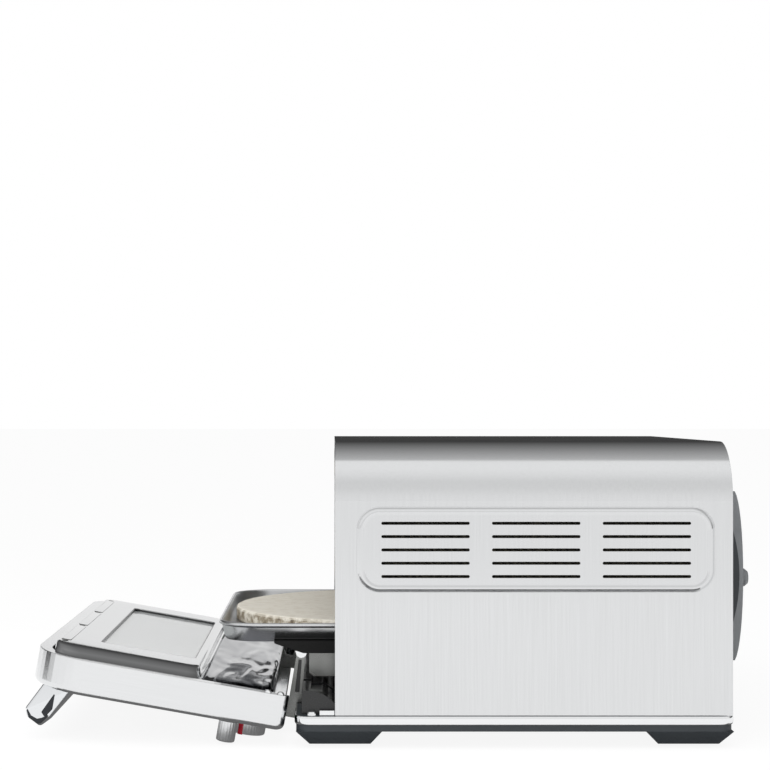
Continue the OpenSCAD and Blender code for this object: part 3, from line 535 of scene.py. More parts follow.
class Finishes:
    """Every finish of the oven, each made once."""

    def __init__(self) -> None:
        """Make the materials."""
        # Stainless sheet, brushed upright: even bright sides that go dark round the upper corner
        self.wrapper = Metal("stainless_brushed_upright", "#DFE0E1", 0.13, Grain.ALONG_Z, 0.9, 0.16, 0.05,
                             cloud=0.02).build()
        # The same steel on the door, brushed along its height: smooth pale sides with dark edges
        self.door = Metal("stainless_brushed_door", "#E6E7E8", 0.11, Grain.ALONG_Z, 0.9, 0.12, 0.03,
                          cloud=0.02, tilt=Tilt.DOOR, edge_mm=1.3).build()
        # Polished strip: a hard dark line under a white one
        self.trim = Metal("stainless_polished", "#EDEEEF", 0.08, cloud=0.02).build()
        # Chromed die casting: sharp, deep reflections
        self.chrome = Metal("zinc_chromed", "#E6E8EA", 0.05, cloud=0.02, edge_mm=1.0).build()
        # Darkened chrome for patches on the casting's ends: painted shade where the end facets mirror dark
        self.chrome_painted_shade = Metal("zinc_chromed_painted_shade", "#3B3D40", 0.09, cloud=0.02, edge_mm=0.4).build()
        # Pressed sheet, barely brushed: milky reflections on the deck
        self.pressed = Metal("stainless_pressed", "#D9DADB", 0.22, Grain.ALONG_X, 0.9, 0.12, 0.04,
                             cloud=0.02).build()
        # Bright-annealed sheet: the door's inside mirrors the deck over it
        self.pressed_door = Metal("stainless_bright_annealed", "#DCDDDE", 0.07, cloud=0.025,
                                  tilt=Tilt.DOOR).build()
        # The same sheet where it is pressed in waves, its colour darkened as a painted reflection of the
        # deck's black underside; the waves break the real reflections
        self.waved_painted_dark = Metal("stainless_waved_painted_dark", "#7B7C80", 0.07, cloud=0.03, tilt=Tilt.DOOR,
                           dent_mm=6.0, wave_mm=20.0).build()
        # Blasted sheet: the deck's inside stays an even pale grey
        self.blasted = Metal("stainless_blasted", "#DDDEDF", 0.42, cloud=0.03).build()
        # Steel dulled by heat: straw and grey clouds inside the cavity
        self.cavity = Metal("steel_heat_dulled", "#8D8A86", 0.38, Grain.ALONG_Y, 1.5, 0.3, 0.18, 0.1).build()
        # Cold-rolled plate: a flat mid-grey with a soft glow in its middle
        self.plate = Metal("steel_cold_rolled", "#8E8F8D", 0.28, Grain.ALONG_Y, 1.0, 0.12, 0.06,
                           cloud=0.05, cloud_mm=25).build()
        # Turned and ribbed aluminium: bright ribs with dark roots
        self.dial = Metal("aluminium_turned", "#F2F3F4", 0.36, edge_mm=0.2).build()
        # Zinc-plated stamping: a slightly yellow, even shine
        self.stamped = Metal("steel_zinc_plated", "#BDBDB9", 0.22, cloud=0.06, cloud_mm=15).build()
        # Heater tube: brown-black oxide
        self.heater = Metal("heater_sheath_oxidised", "#5A4E46", 0.5, cloud=0.1, cloud_mm=20).build()
        # Slate polypropylene, spark-eroded mould: dull and even
        self.slate = Moulded("polypropylene_slate", "#2F3438", 0.5).build()
        # Grey polyamide: a shade lighter than the cover that it stands on
        self.polyamide = Moulded("polyamide_grey", "#818487", 0.5).build()
        # Vitreous enamel: deep black with a wet edge
        self.enamel = Moulded("enamel_black", "#141516", 0.3, depth=0.06, coat=0.3).build()
        # Heat-proof black paint: no highlight under the deck
        self.soot = Moulded("paint_black_matt", "#0C0C0C", 0.75, depth=0.1).build()
        # Silicone rubber: matt black that takes no highlight
        self.rubber = Moulded("silicone_black", "#17181A", 0.7, drift=0.2).build()
        # Glazed steatite beads: cream with a small bright glint
        self.bead = Moulded("steatite_glazed", "#E4DDCB", 0.25, depth=0.05).build()
        # Signal-red printed line: an even red on the grey ribs
        self.red = Moulded("print_red", "#E01737", 0.4, depth=0.05, edge_mm=0.1).build()
        # Rock wool: an olive-grey tangle, its colour darkened as painted shade behind the louvres
        self.wool = Fibre("rock_wool_painted_dark", "#5E5A4C", "#36332B").build()
        # Woven glass sleeve round the mouth: grey, dry and diagonal
        self.braid = Fibre("glass_fibre_braid", "#8B8880", "#4B4945", 1.4).build()
        # Cordierite, pressed and fired: bone-pale on top, darker and blotched tan on its side
        self.stone = Cordierite().build()
        # Solder mask: satin green with paler tracks
        self.board = Board().build()
        # Inner pane: a milky, pale colour over what lies behind it, a painted sheen for the bright floor seen
        # through the window
        self.pale_glass_painted_light = Glass("glass_painted_pale", "#EEF0F0", 0.35).build()
        # Smoke-tinted pane: dark from outside
        self.tinted = Glass("glass_toughened_tinted", "#8B9496").build()


FINISH_OF_NODE: dict[str, str] = {
    # Base
    "base_tray": "slate", "base_trim": "trim", "foot_pads": "rubber", "hinge_pins": "stamped",
    "front_sill": "enamel", "sill_screws": "trim", "base_screws": "stamped",
    # Housing
    "face_plate": "plate", "outer_wrapper": "wrapper", "door_seal": "braid", "rear_panel": "cavity",
    "rear_cover": "slate", "rear_screws": "stamped", "wall_spacers": "polyamide", "cord_inlet": "rubber",
    # Cavity
    "cavity_liner": "cavity", "insulation_blanket": "wool", "deck_rails": "cavity",
    "upper_element": "heater", "lower_element": "heater", "element_terminals": "bead",
    "heat_reflector": "trim", "temperature_probe": "stamped",
    # Electrics
    "power_board": "board", "control_board": "board", "fan_housing": "enamel", "fan_rotor": "slate",
    # Deck
    "deck_tray": "pressed", "pizza_stone": "stone", "deck_underframe": "soot", "deck_brackets": "plate",
    "deck_rollers": "stamped",
    # Door
    "door_shell": "door", "door_inner_frame": "enamel", "door_lower_panel": "pressed_door",
    "door_raised_panel": "pressed_door", "outer_glass": "tinted", "inner_glass": "pale_glass_painted_light",
    "window_gasket": "rubber", "door_screws": "trim", "handle_bar": "chrome", "handle_mounts": "chrome",
    "hinge_levers": "plate", "lever_rollers": "trim",
    # Controls
    "dial_sockets": "enamel", "right_dial": "dial", "centre_dial": "dial", "left_dial": "dial",
    "side_knob": "dial",
}


@dataclass
class CarriedParts:
    """The solids that come with the frame, each with its own finish.

    Attributes:
        finishes: The oven's materials.
    """

    finishes: Finishes

    def dress(self) -> None:
        """Give every carried node its finish."""
        for name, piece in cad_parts.items():
            material = getattr(self.finishes, FINISH_OF_NODE[name])
            piece.data.materials.clear()
            piece.data.materials.append(material)
            LOG.info("%s is finished in %s", name, material.name)


# ---------------------------------------------------------------- outlines and skins


Outline = list[Vector]


def rounded(corners: list[Pair], radii: list[float], steps: int = 5) -> Outline:
    """Round the corners of a closed outline.

    Args:
        corners: The corners, counter-clockwise.
        radii: The radius at each corner.
        steps: Segments in each round.

    Returns:
        The rounded outline, counter-clockwise.
    """
    points = []
    for i, (corner, radius) in enumerate(zip(corners, radii)):
        here = Vector(corner)
        back = (Vector(corners[i - 1]) - here).normalized()
        ahead = (Vector(corners[(i + 1) % len(corners)]) - here).normalized()
        half = back.angle(ahead) / 2
        centre = here + (back + ahead).normalized() * radius / math.sin(half)
        start = here + back * radius / math.tan(half) - centre
        end = here + ahead * radius / math.tan(half) - centre
        points += [centre + start.lerp(end, k / steps).normalized() * radius for k in range(steps + 1)]
    return points


def rectangle(left: float, right: float, foot: float, top: float) -> list[Pair]:
    """Give a rectangle's corners, counter-clockwise from its lower left one."""
    return [(left, foot), (right, foot), (right, top), (left, top)]


def taken_in(outline: Outline, distance: float) -> Outline:
    """Move an outline inwards.

    Args:
        outline: The outline, counter-clockwise.
        distance: How far each point moves.

    Returns:
        The smaller outline.
    """
    moved = []
    for i, point in enumerate(outline):
        along = (outline[(i + 1) % len(outline)] - outline[i - 1]).normalized()
        moved.append(point + Vector((-along.y, along.x)) * distance)
    return moved


def lying(outline: Outline, height: float) -> Outline:
    """Lay an outline, drawn in X and Y, at a height.

    Args:
        outline: The outline, in millimetres.
        height: Its height, in millimetres.

    Returns:
        The outline in the frame, in metres.
    """
    return [Vector((point.x, point.y, height)) * MM for point in outline]


def upright(outline: Outline, across: float) -> Outline:
    """Stand an outline, drawn in Y and Z, at a place along X.

    Args:
        outline: The outline, in millimetres.
        across: Its place along X, in millimetres.

    Returns:
        The outline in the frame, in metres.
    """
    return [Vector((across, point.x, point.y)) * MM for point in outline]


def box_mm(node: str) -> tuple[Vector, Vector]:
    """Give a CAD node's lowest and highest corner, in millimetres."""
    low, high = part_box(node)
    return low / MM, high / MM


class Skin:
    """A mesh made of closed lofts, which then rides on a body."""

    def __init__(self, name: str) -> None:
        """Start an empty skin.

        Args:
            name: The piece's name.
        """
        self.name = name
        self.mesh = bmesh.new()

    def loft(self, rings: list[Outline], finish: int = 0, bands: dict[int, int] | None = None,
             frame_like: bool = False) -> None:
        """Add a closed loft.

        Args:
            rings: Rings of equally many points, in metres.
            finish: The number of the finish that its faces take.
            bands: Other finishes, by the number of the ring that their faces start at.
            frame_like: Whether the last ring joins the first one, where a window stays open.
        """
        bands = bands or {}
        rows = [[self.mesh.verts.new(point) for point in ring] for ring in rings]
        count = len(rows[0])
        pairs = list(zip(rows, rows[1:] + rows[:1] if frame_like else rows[1:]))
        for number, (low, high) in enumerate(pairs):
            for i in range(count):
                face = self.mesh.faces.new((low[i], low[(i + 1) % count], high[(i + 1) % count], high[i]))
                face.material_index = bands.get(number, finish)
        if not frame_like:
            self.mesh.faces.new(rows[0][::-1]).material_index = finish
            self.mesh.faces.new(rows[-1]).material_index = bands.get(len(pairs), finish)

    def piece(self, body: str, slot: str, finishes: list[bpy.types.Material],
              stands_for: tuple[str, ...] = (), crease: float = 32.0) -> None:
        """Turn the skin into a piece.

        Args:
            body: The body that it rides on.
            slot: The record's material slot; not used.
            finishes: Its materials.
            stands_for: The CAD nodes that it replaces.
            crease: Edges sharper than this angle stay sharp, in degrees.
        """
        bmesh.ops.recalc_face_normals(self.mesh, faces=self.mesh.faces)
        data = bpy.data.meshes.new(self.name)
        self.mesh.to_mesh(data)
        self.mesh.free()
        data.shade_smooth()
        data.set_sharp_from_angle(angle=math.radians(crease))
        for material in finishes:
            data.materials.append(material)
        piece = bpy.data.objects.new(self.name, data)
        bpy.context.collection.objects.link(piece)
        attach(piece, body)
        if stands_for:
            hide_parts(*stands_for)
        LOG.info("%s rides on %s, %d faces", self.name, body, len(data.polygons))


# ---------------------------------------------------------------- door


@dataclass(frozen=True)
class OpenDoor:
    """Where the open door lies.

    Attributes:
        swing: The angle that it has swung, in degrees.
        face_mm: Its outer face, behind the hinge axis, with the door closed.
        foot_mm: Its bottom edge, above the hinge axis, with the door closed.
        depth_mm: The distance from its outer face to the plane of its inner rim.
    """

    swing: float = 80.0
    face_mm: float = -7.6
    foot_mm: float = 20.3
    depth_mm: float = 31.7

    def at(self, across: float, out: float, up: float) -> Vector:
        """Give a place on the door in the frame.

        Args:
            across: Its place along X, in millimetres.
            out: How far it stands out of the door's outer face.
            up: Its height over the door's bottom edge.

        Returns:
            The place in metres.
        """
        low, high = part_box("hinge_pins")
        y, z = self.face_mm - out, self.foot_mm + up
        c, s = math.cos(math.radians(self.swing)), math.sin(math.radians(self.swing))
        return Vector((across * MM, (low.y + high.y) / 2 + (y * c - z * s) * MM,
                       (low.z + high.z) / 2 + (y * s + z * c) * MM))

    def inside(self, outline: Outline, rise: float) -> Outline:
        """Lay an outline, drawn across and up the door, on its inner side.

        Args:
            outline: The outline, in millimetres.
            rise: How far it stands out of the inner rim's plane.

        Returns:
            The outline in the frame.
        """
        return [self.at(point.x, -self.depth_mm - rise, point.y) for point in outline]


@dataclass(frozen=True)
class Field:
    """A rounded rectangle, drawn across and up the door.

    Attributes:
        half_width: Half its width.
        foot: Its lower edge.
        top: Its upper edge.
        radius: The radius of its upper corners.
        foot_radius: The most that its lower corners are rounded.
    """

    half_width: float
    foot: float
    top: float
    radius: float
    foot_radius: float = 12.0

    def outline(self, steps: int = 8) -> Outline:
        """Give its outline.

        Args:
            steps: Segments in each corner.

        Returns:
            The outline, in millimetres.
        """
        lower = min(self.radius, self.foot_radius)
        corners = rectangle(-self.half_width, self.half_width, self.foot, self.top)
        return rounded(corners, [lower, lower, self.radius, self.radius], steps)

    def grown(self, out: float) -> "Field":
        """Give the field that lies evenly round this one, at a distance."""
        return Field(self.half_width + out, self.foot - out, self.top + out, self.radius + out)


WINDOW = Field(146.0, 92.0, 182.0, 8.0)


@dataclass
class PanelPressing:
    """The door's inner panel: it swells to a crowned field round the window.

    Attributes:
        door: Where the door lies.
        steps: The field of each ring and its rise, from the rim to the window and back behind the sheet.
        pitch: The distance between the pads along the door's top, and between the air slots.
        pad: A pad's field.
        pad_places: How many pitches each pad lies from the middle.
        pad_steps: The rise and inset of a pad's rings.
        pad_dark: How many of a pad's bands, from the lowest up, are black: painted shade round its edge.
        slot: An air slot's field.
        slot_places: How many pitches each slot lies from the middle.
        slot_steps: The rise and inset of a slot's rings.
        slot_dark: How many of a slot's bands are black, its top included: painted shade in the slot's
            opening.
    """

    door: OpenDoor
    steps: tuple[tuple[Field, float], ...] = (
        (Field(217.8, 80.0, 218.5, 36.0), -6.3), (Field(217.8, 80.0, 218.5, 36.0), -2.3),
        (Field(210.0, 81.5, 218.4, 31.0), -1.4), (Field(202.5, 83.0, 218.3, 26.0), 1.8),
        (Field(195.0, 84.5, 218.1, 20.0), 4.7), (Field(189.0, 85.6, 217.9, 15.0), 5.6),
        (Field(181.0, 86.6, 217.0, 14.0), 5.92), (Field(170.0, 88.0, 214.0, 13.0), 6.08),
        (Field(158.0, 90.0, 203.0, 11.0), 6.14), (Field(147.6, 90.8, 183.6, 9.2), 6.15),
        (Field(146.5, 91.6, 182.5, 8.4), 6.15), (WINDOW, 5.8), (WINDOW, 5.3),
        (Field(150.0, 89.0, 186.0, 11.0), 5.2), (Field(200.0, 84.0, 214.0, 30.0), -4.0),
        (Field(217.0, 80.5, 218.0, 36.0), -6.3))
    pitch: float = 114.0
    pad: Field = Field(52.5, 206.6, 215.6, 2.5)
    pad_places: tuple[float, ...] = (-1.0, 0.0, 1.0)
    pad_steps: tuple[Pair, ...] = ((5.3, 0.0), (6.2, 0.0), (6.42, 0.3), (6.46, 0.7))
    pad_dark: int = 2
    slot: Field = Field(2.6, 208.6, 213.8, 1.8)
    slot_places: tuple[float, ...] = (-1.5, -0.5, 0.5, 1.5)
    slot_steps: tuple[Pair, ...] = ((5.3, 0.0), (6.3, 0.0), (6.35, 0.3))
    slot_dark: int = 3

    def build(self, finishes: Finishes) -> None:
        """Make the panel with its pads and air slots.

        Args:
            finishes: The oven's materials.
        """
        skin = Skin("door_panel_pressing")
        skin.loft([self.door.inside(field.outline(), rise) for field, rise in self.steps], frame_like=True)
        for place in self.pad_places:
            self.patch(skin, self.pad, place, self.pad_steps, self.pad_dark)
        for place in self.slot_places:
            self.patch(skin, self.slot, place, self.slot_steps, self.slot_dark)
        skin.piece("door", "formed_steel", [finishes.pressed_door, finishes.enamel], ("door_raised_panel",),
                   crease=24.0)

    def patch(self, skin: Skin, shape: Field, place: float, steps: tuple[Pair, ...], dark: int) -> None:
        """Add one pad or slot to the panel.

        Args:
            skin: The panel's skin.
            shape: Its field.
            place: How many pitches it lies from the middle.
            steps: The rise and inset of its rings.
            dark: How many of its bands are black, as painted shade.
        """
        aside = Vector((place * self.pitch, 0.0))
        plan = shape.outline(steps=4)
        # Black bands paint the shade round a pad's edge and in a slot's opening.
        skin.loft([self.door.inside([point + aside for point in taken_in(plan, inset)], rise)
                   for rise, inset in steps], bands={band: 1 for band in range(dark)})


@dataclass
class FootPressing:
    """The mirror-like pressing between the window's panel and the door's foot, its steel darkened as a
    painted reflection of the deck's underside.

    Attributes:
        door: Where the door lies.
        steps: The field of each ring and its rise.
    """

    door: OpenDoor
    steps: tuple[tuple[Field, float], ...] = (
        (Field(218.0, 15.0, 80.5, 9.0), -6.3), (Field(218.0, 15.0, 80.5, 9.0), -5.4),
        (Field(212.0, 16.0, 79.8, 8.5), -5.0), (Field(204.0, 17.2, 79.0, 8.0), -3.4),
        (Field(196.0, 18.4, 78.2, 8.0), -1.9), (Field(190.0, 19.6, 77.4, 8.0), -1.3),
        (Field(180.0, 22.0, 76.0, 8.0), -1.1))

    def build(self, finishes: Finishes) -> None:
        """Make the pressing.

        Args:
            finishes: The oven's materials.
        """
        skin = Skin("door_foot_pressing")
        skin.loft([self.door.inside(field.outline(), rise) for field, rise in self.steps])
        skin.piece("door", "dark_panel", [finishes.waved_painted_dark], ("door_lower_panel",), crease=40.0)


@dataclass
class WindowBead:
    """The narrow dark bead that holds the inner pane.

    Attributes:
        door: Where the door lies.
        steps: How far outside the window's edge each ring lies, and its rise.
    """

    door: OpenDoor
    steps: tuple[Pair, ...] = ((4.0, 3.3), (4.0, 5.25), (0.0, 5.25), (-0.9, 5.1), (-1.2, 4.5), (-1.2, 3.3))

    def build(self, finishes: Finishes) -> None:
        """Make the bead.

        Args:
            finishes: The oven's materials.
        """
        skin = Skin("window_bead")
        skin.loft([self.door.inside(WINDOW.grown(out).outline(), rise) for out, rise in self.steps],
                  frame_like=True)
        skin.piece("door", "pad_rubber", [finishes.enamel], ("window_gasket",))


@dataclass
class CastHandle:
    """The chromed handle: a slanting bar that swells into a mount at each end.

    Attributes:
        door: Where the door lies.
        length: Its length.
        height: Where its slant starts, over the door's bottom edge.
        tilt: The slant, in degrees.
        thickness: The bar's thickness.
        reach: How far it reaches along its slant.
        mount_width: The width of a mount.
        nose_low: The nose's lower corners: along the slant past the reach, and up from the lower face.
        nose_high: Its upper corners: along the slant past the reach, and down from the upper face.
        rounds: The radii of the section's corners.
        end_steps: How far inside the handle's end each ring lies, and its inset.
        web_steps: How far inside the mount each ring lies, and where its section starts along the slant.
        wedge: The long patch of painted shade in each end, along the slant and across it.
        wedge_rounds: The radii of its corners.
        tip: The crescent patch of painted shade round the nose.
        inset_steps: How far outside the handle's end each ring of a shade patch lies, and how far it is taken
            in.
    """

    door: OpenDoor
    length: float = 392.0
    height: float = 207.0
    tilt: float = 27.0
    thickness: float = 24.8
    reach: float = 39.5
    mount_width: float = 22.0
    nose_low: tuple[Pair, ...] = ((-11.0, 0.0), (0.8, 3.6))
    nose_high: tuple[Pair, ...] = ((0.8, 5.6), (-5.0, 0.0))
    rounds: tuple[float, ...] = (4.0, 8.0, 3.6, 3.6, 4.2, 4.0)
    end_steps: tuple[Pair, ...] = ((0.0, 2.6), (0.3, 1.7), (0.9, 1.0), (2.0, 0.45), (3.8, 0.1), (6.5, 0.0))
    web_steps: tuple[Pair, ...] = (
        (-3.0, -3.0), (0.0, -1.0), (1.6, 4.0), (3.6, 10.0), (6.5, 15.0), (9.5, 17.0))
    wedge: tuple[Pair, ...] = ((6.5, -1.2), (20.5, -8.4), (30.5, -7.2), (28.5, -1.8))
    wedge_rounds: tuple[float, ...] = (0.6, 1.5, 1.5, 0.8)
    tip: tuple[Pair, ...] = (
        (27.5, -9.2), (37.0, -7.6), (39.0, -5.4), (39.2, 4.6), (35.4, 9.6), (33.6, 9.8), (36.4, 3.6),
        (35.6, -2.4), (32.0, -5.6), (27.0, -7.6))
    inset_steps: tuple[Pair, ...] = ((-1.0, 0.0), (0.05, 0.0), (0.25, 0.3))

    def section(self, start: float, inset: float) -> Outline:
        """Give the section along the slant and across it.

        Args:
            start: Where it starts along the slant.
            inset: How far it is taken in.

        Returns:
            The outline, in millimetres.
        """
        half = self.thickness / 2
        corners = [(start, -half)]
        corners += [(self.reach + past, rise - half) for past, rise in self.nose_low]
        corners += [(self.reach + past, half - fall) for past, fall in self.nose_high]
        corners.append((start, half))
        return taken_in(rounded(corners, list(self.rounds)), inset)

    def place(self, across: float, outline: Outline) -> Outline:
        """Stand an outline on the door.

        Args:
            across: Its place along X.
            outline: The outline along the slant and across it, in millimetres.

        Returns:
            The outline in the frame.
        """
        c, s = math.cos(math.radians(self.tilt)), math.sin(math.radians(self.tilt))
        return [self.door.at(across, a * c - b * s, self.height + a * s + b * c) for a, b in outline]

    def build(self, finishes: Finishes) -> None:
        """Make the handle and the dark chrome patches in its ends, painted shade on the end facets.

        Args:
            finishes: The oven's materials.
        """
        half = self.length / 2
        inner = half - self.mount_width
        stations = [(half - step, self.web_steps[0][1], inset) for step, inset in self.end_steps]
        stations += [(inner - step, start, 0.0) for step, start in self.web_steps]
        stations += [(-across, start, inset) for across, start, inset in reversed(stations)]
        skin = Skin("handle_casting")
        skin.loft([self.place(across, self.section(start, inset)) for across, start, inset in stations])
        skin.piece("door", "polished_trim", [finishes.chrome], ("handle_bar", "handle_mounts"))
        # Dark chrome patches on both ends paint the shade of the end facets.
        dark = Skin("handle_painted_shade")
        wedge = rounded(list(self.wedge), list(self.wedge_rounds), steps=3)
        for shape in (wedge, [Vector(point) for point in self.tip]):
            for side in (-1, 1):
                dark.loft([self.place(side * (half + out), taken_in(shape, inset))
                           for out, inset in self.inset_steps])
        dark.piece("door", "polished_trim", [finishes.chrome_painted_shade])


@dataclass
class LeverSlotShades:
    """The black strips in the slots of the hinge levers: painted shade inside the slots.

    Attributes:
        door: Where the door lies.
        across: The levers' distance from the middle.
        shape: A strip's corners behind and over the hinge axis, with the door closed.
        rounds: The radii of its corners.
        steps: How far beside the lever's middle each ring lies, and its inset.
    """

    door: OpenDoor
    across: float = 156.0
    shape: tuple[Pair, ...] = ((17.0, 11.0), (49.0, 14.2), (49.0, 17.7), (17.0, 16.2))
    rounds: tuple[float, ...] = (0.8, 1.2, 1.2, 0.8)
    steps: tuple[Pair, ...] = ((-0.8, 0.2), (-0.6, 0.0), (0.6, 0.0), (0.8, 0.2))

    def build(self, finishes: Finishes) -> None:
        """Make the strips.

        Args:
            finishes: The oven's materials.
        """
        # Black strips fill the lever slots as painted shade.
        skin = Skin("lever_slot_shades")
        strip = rounded(list(self.shape), list(self.rounds), steps=3)
        for lever in (-self.across, self.across):
            skin.loft([[self.door.at(lever + beside, self.door.face_mm - y, z - self.door.foot_mm)
                        for y, z in taken_in(strip, inset)] for beside, inset in self.steps])
        skin.piece("door", "hinge_steel", [finishes.enamel])


# ---------------------------------------------------------------- controls


class End(Enum):
    """The end of a control that a distance is measured from."""

    FOOT = 0.0
    CAP = 1.0


@dataclass(frozen=True)
class Control:
    """One control on the door.

    Attributes:
        body: The body and the CAD node that it stands for.
        across: Its place across the door.
        up: Its height over the door's bottom edge.
        radius: Its radius.
        length: How far it stands out of the door's face.
        ribs: How many ribs it has.
        line: Whether it has a red pointer line.
    """

    body: str
    across: float
    up: float = 34.0
    radius: float = 17.8
    length: float = 15.0
    ribs: int = 44
    line: bool = True

    def stand(self, end: End, past: float) -> float:
        """Give how far a place past one of its ends stands out of the door's face."""
        return end.value * self.length + past

    def spot(self, door: OpenDoor, out: float, radius: float, angle: float) -> Vector:
        """Give a place round the control's axis.

        Args:
            door: Where the door lies.
            out: How far the place stands out of the door's face.
            radius: Its distance from the axis.
            angle: Its angle round the axis, in radians.

        Returns:
            The place in the frame.
        """
        return door.at(self.across + radius * math.cos(angle), out, self.up + radius * math.sin(angle))


CONTROLS = (Control("right_dial", 177.0), Control("centre_dial", 0.0), Control("left_dial", -177.0),
            Control("side_knob", 205.0, 50.0, 8.5, 21.3, 22, False))


@dataclass
class Controls:
    """The turned, ribbed dials and the side knob.

    Attributes:
        door: Where the door lies.
        rib_depth: How deep the ribs are cut.
        bare_inset: From this inset on, a ring has no ribs.
        profile: Each ring of a grip: the end it is measured from, how far past it, and its inset.
        line_turn: The angle of the pointer line round a dial, in degrees.
        line_half: Half the pointer line's width, in degrees.
        line_root: How deep in the dial the pointer line starts.
        line_profile: Each ring of the line, as in profile.
    """

    door: OpenDoor
    rib_depth: float = 0.4
    bare_inset: float = 1.0
    profile: tuple[tuple[End, float, float], ...] = (
        (End.FOOT, 2.1, 1.5), (End.FOOT, 2.3, 0.5), (End.FOOT, 2.8, 0.0), (End.CAP, -1.6, 0.0),
        (End.CAP, -0.7, 0.35), (End.CAP, -0.2, 0.9), (End.CAP, -0.02, 1.7), (End.CAP, -0.02, 2.6),
        (End.CAP, -0.5, 3.0))
    line_turn: float = 14.0
    line_half: float = 7.0
    line_root: float = 3.0
    line_profile: tuple[tuple[End, float, float], ...] = (
        (End.FOOT, 3.2, 0.5), (End.FOOT, 3.5, -0.05), (End.CAP, 0.1, -0.05), (End.CAP, 0.4, 0.5))

    def ring(self, control: Control, out: float, inset: float) -> Outline:
        """Give one ring of a grip.

        Args:
            control: The control.
            out: How far the ring stands out of the door's face.
            inset: How far it lies inside the control's radius.

        Returns:
            The ring in the frame.
        """
        crest = control.radius - inset
        root = crest - self.rib_depth if inset < self.bare_inset else crest
        return [control.spot(self.door, out, root if i % 2 else crest, math.pi * i / control.ribs)
                for i in range(2 * control.ribs)]

    def line(self, control: Control, out: float, inset: float) -> Outline:
        """Give one ring of a pointer line.

        Args:
            control: The control that it lies on.
            out: How far the ring stands out of the door's face.
            inset: How far its outer side lies inside the control's radius.

        Returns:
            The ring in the frame.
        """
        arc = [math.radians(self.line_turn + self.line_half * k / 3) for k in range(-3, 4)]
        places = [(control.radius - inset, angle) for angle in arc]
        places += [(control.radius - self.line_root, angle) for angle in reversed(arc)]
        return [control.spot(self.door, out, radius, angle) for radius, angle in places]

    def build(self, finishes: Finishes) -> None:
        """Make every control and its line.

        Args:
            finishes: The oven's materials.
        """
        for control in CONTROLS:
            skin = Skin(f"{control.body}_grip")
            skin.loft([self.ring(control, control.stand(end, past), inset)
                       for end, past, inset in self.profile])
            if control.line:
                skin.loft([self.line(control, control.stand(end, past), inset)
                           for end, past, inset in self.line_profile], 1)
            skin.piece(control.body, "dial_metal", [finishes.dial, finishes.red], (control.body,))


# ---------------------------------------------------------------- deck and housing


@dataclass
class TrimBand:
    """The bright band round the base, with a rolled section, open where the levers pass.

    Attributes:
        foot_mm: The height of its lower edge.
        half_width: Half the width between its inner faces.
        thickness: How far its section stands out of its inner face.
        corner: The radius of its corners.
        corner_steps: Segments in each corner.
        gap: The levers' places from the middle, where the band is open.
        section: Its section: how far out and how far up each point lies.
    """

    foot_mm: float = 21.5
    half_width: float = 233.5
    thickness: float = 1.5
    corner: float = 12.5
    corner_steps: int = 8
    gap: Pair = (149.5, 162.5)
    section: tuple[Pair, ...] = (
        (0.02, 0.0), (0.7, 0.1), (1.15, 0.6), (1.42, 1.5), (1.5, 2.8), (1.5, 5.6), (1.4, 6.6), (1.1, 7.35),
        (0.6, 7.8), (0.02, 7.9))

    def path(self) -> list[tuple[Vector, Vector]]:
        """Go round the base, from the right lever to the left one.

        Returns:
            Places on the band's inner face, in millimetres, each with the way out of it.
        """
        low, high = box_mm("base_trim")
        front, back = low.y + self.thickness, high.y - self.thickness
        x, r = self.half_width - self.corner, self.corner
        route = [(Vector((self.gap[1], front)), Vector((0, -1)))]
        turns = (((x, front + r), -90), ((x, back - r), 0), ((-x, back - r), 90), ((-x, front + r), 180))
        for centre, first in turns:
            for k in range(self.corner_steps + 1):
                angle = math.radians(first + 90 * k / self.corner_steps)
                way = Vector((math.cos(angle), math.sin(angle)))
                route.append((Vector(centre) + way * r, way))
        return route + [(Vector((-self.gap[1], front)), Vector((0, -1)))]

    def build(self, finishes: Finishes) -> None:
        """Make the band.

        Args:
            finishes: The oven's materials.
        """
        skin = Skin("trim_band")
        long_way = self.path()
        front = long_way[0][0].y
        short_way = [(Vector((x, front)), Vector((0, -1))) for x in (-self.gap[0], self.gap[0])]
        for route in (long_way, short_way):
            skin.loft([[((place + way * out).to_3d() + Vector((0, 0, self.foot_mm + up))) * MM
                        for out, up in self.section] for place, way in route])
        skin.piece("housing", "polished_trim", [finishes.trim], ("base_trim",), crease=50.0)


@dataclass
class DeckTray:
    """The deck's tray: a drawn pan with a rolled rim and leaning sides.

    Attributes:
        corner: The radius of its corners, seen from above.
        corner_steps: Segments in each corner.
        outside: Its section from the underside up to the rim's crest: inset and height.
        blasted: Its section from the crest down to the floor inside.
    """

    corner: float = 40.0
    corner_steps: int = 14
    outside: tuple[Pair, ...] = (
        (30.0, 0.0), (9.6, -0.1), (8.7, -0.9), (8.4, -2.6), (7.7, -3.5), (6.6, -3.5), (5.9, -2.6), (2.9, 9.6),
        (1.4, 10.0), (0.4, 10.8), (0.0, 12.0), (0.4, 13.2), (1.4, 13.9))
    blasted: tuple[Pair, ...] = (
        (2.6, 13.9), (3.6, 13.2), (4.2, 11.8), (4.7, 5.0), (5.4, 2.9), (7.0, 1.8), (9.0, 1.5), (30.0, 1.5))

    def build(self, finishes: Finishes) -> None:
        """Make the tray.

        Args:
            finishes: The oven's materials.
        """
        low, high = box_mm("deck_tray")
        section = self.outside + self.blasted
        rings = []
        for inset, height in section:
            corners = rectangle(low.x + inset, high.x - inset, low.y + inset, high.y - inset)
            plan = rounded(corners, [self.corner - inset] * 4, self.corner_steps)
            rings.append(lying(plan, low.z + height))
        skin = Skin("deck_pan")
        skin.loft(rings, bands={ring: 1 for ring in range(len(self.outside), len(section))})
        skin.piece("deck", "formed_steel", [finishes.pressed, finishes.blasted], ("deck_tray",), crease=40.0)


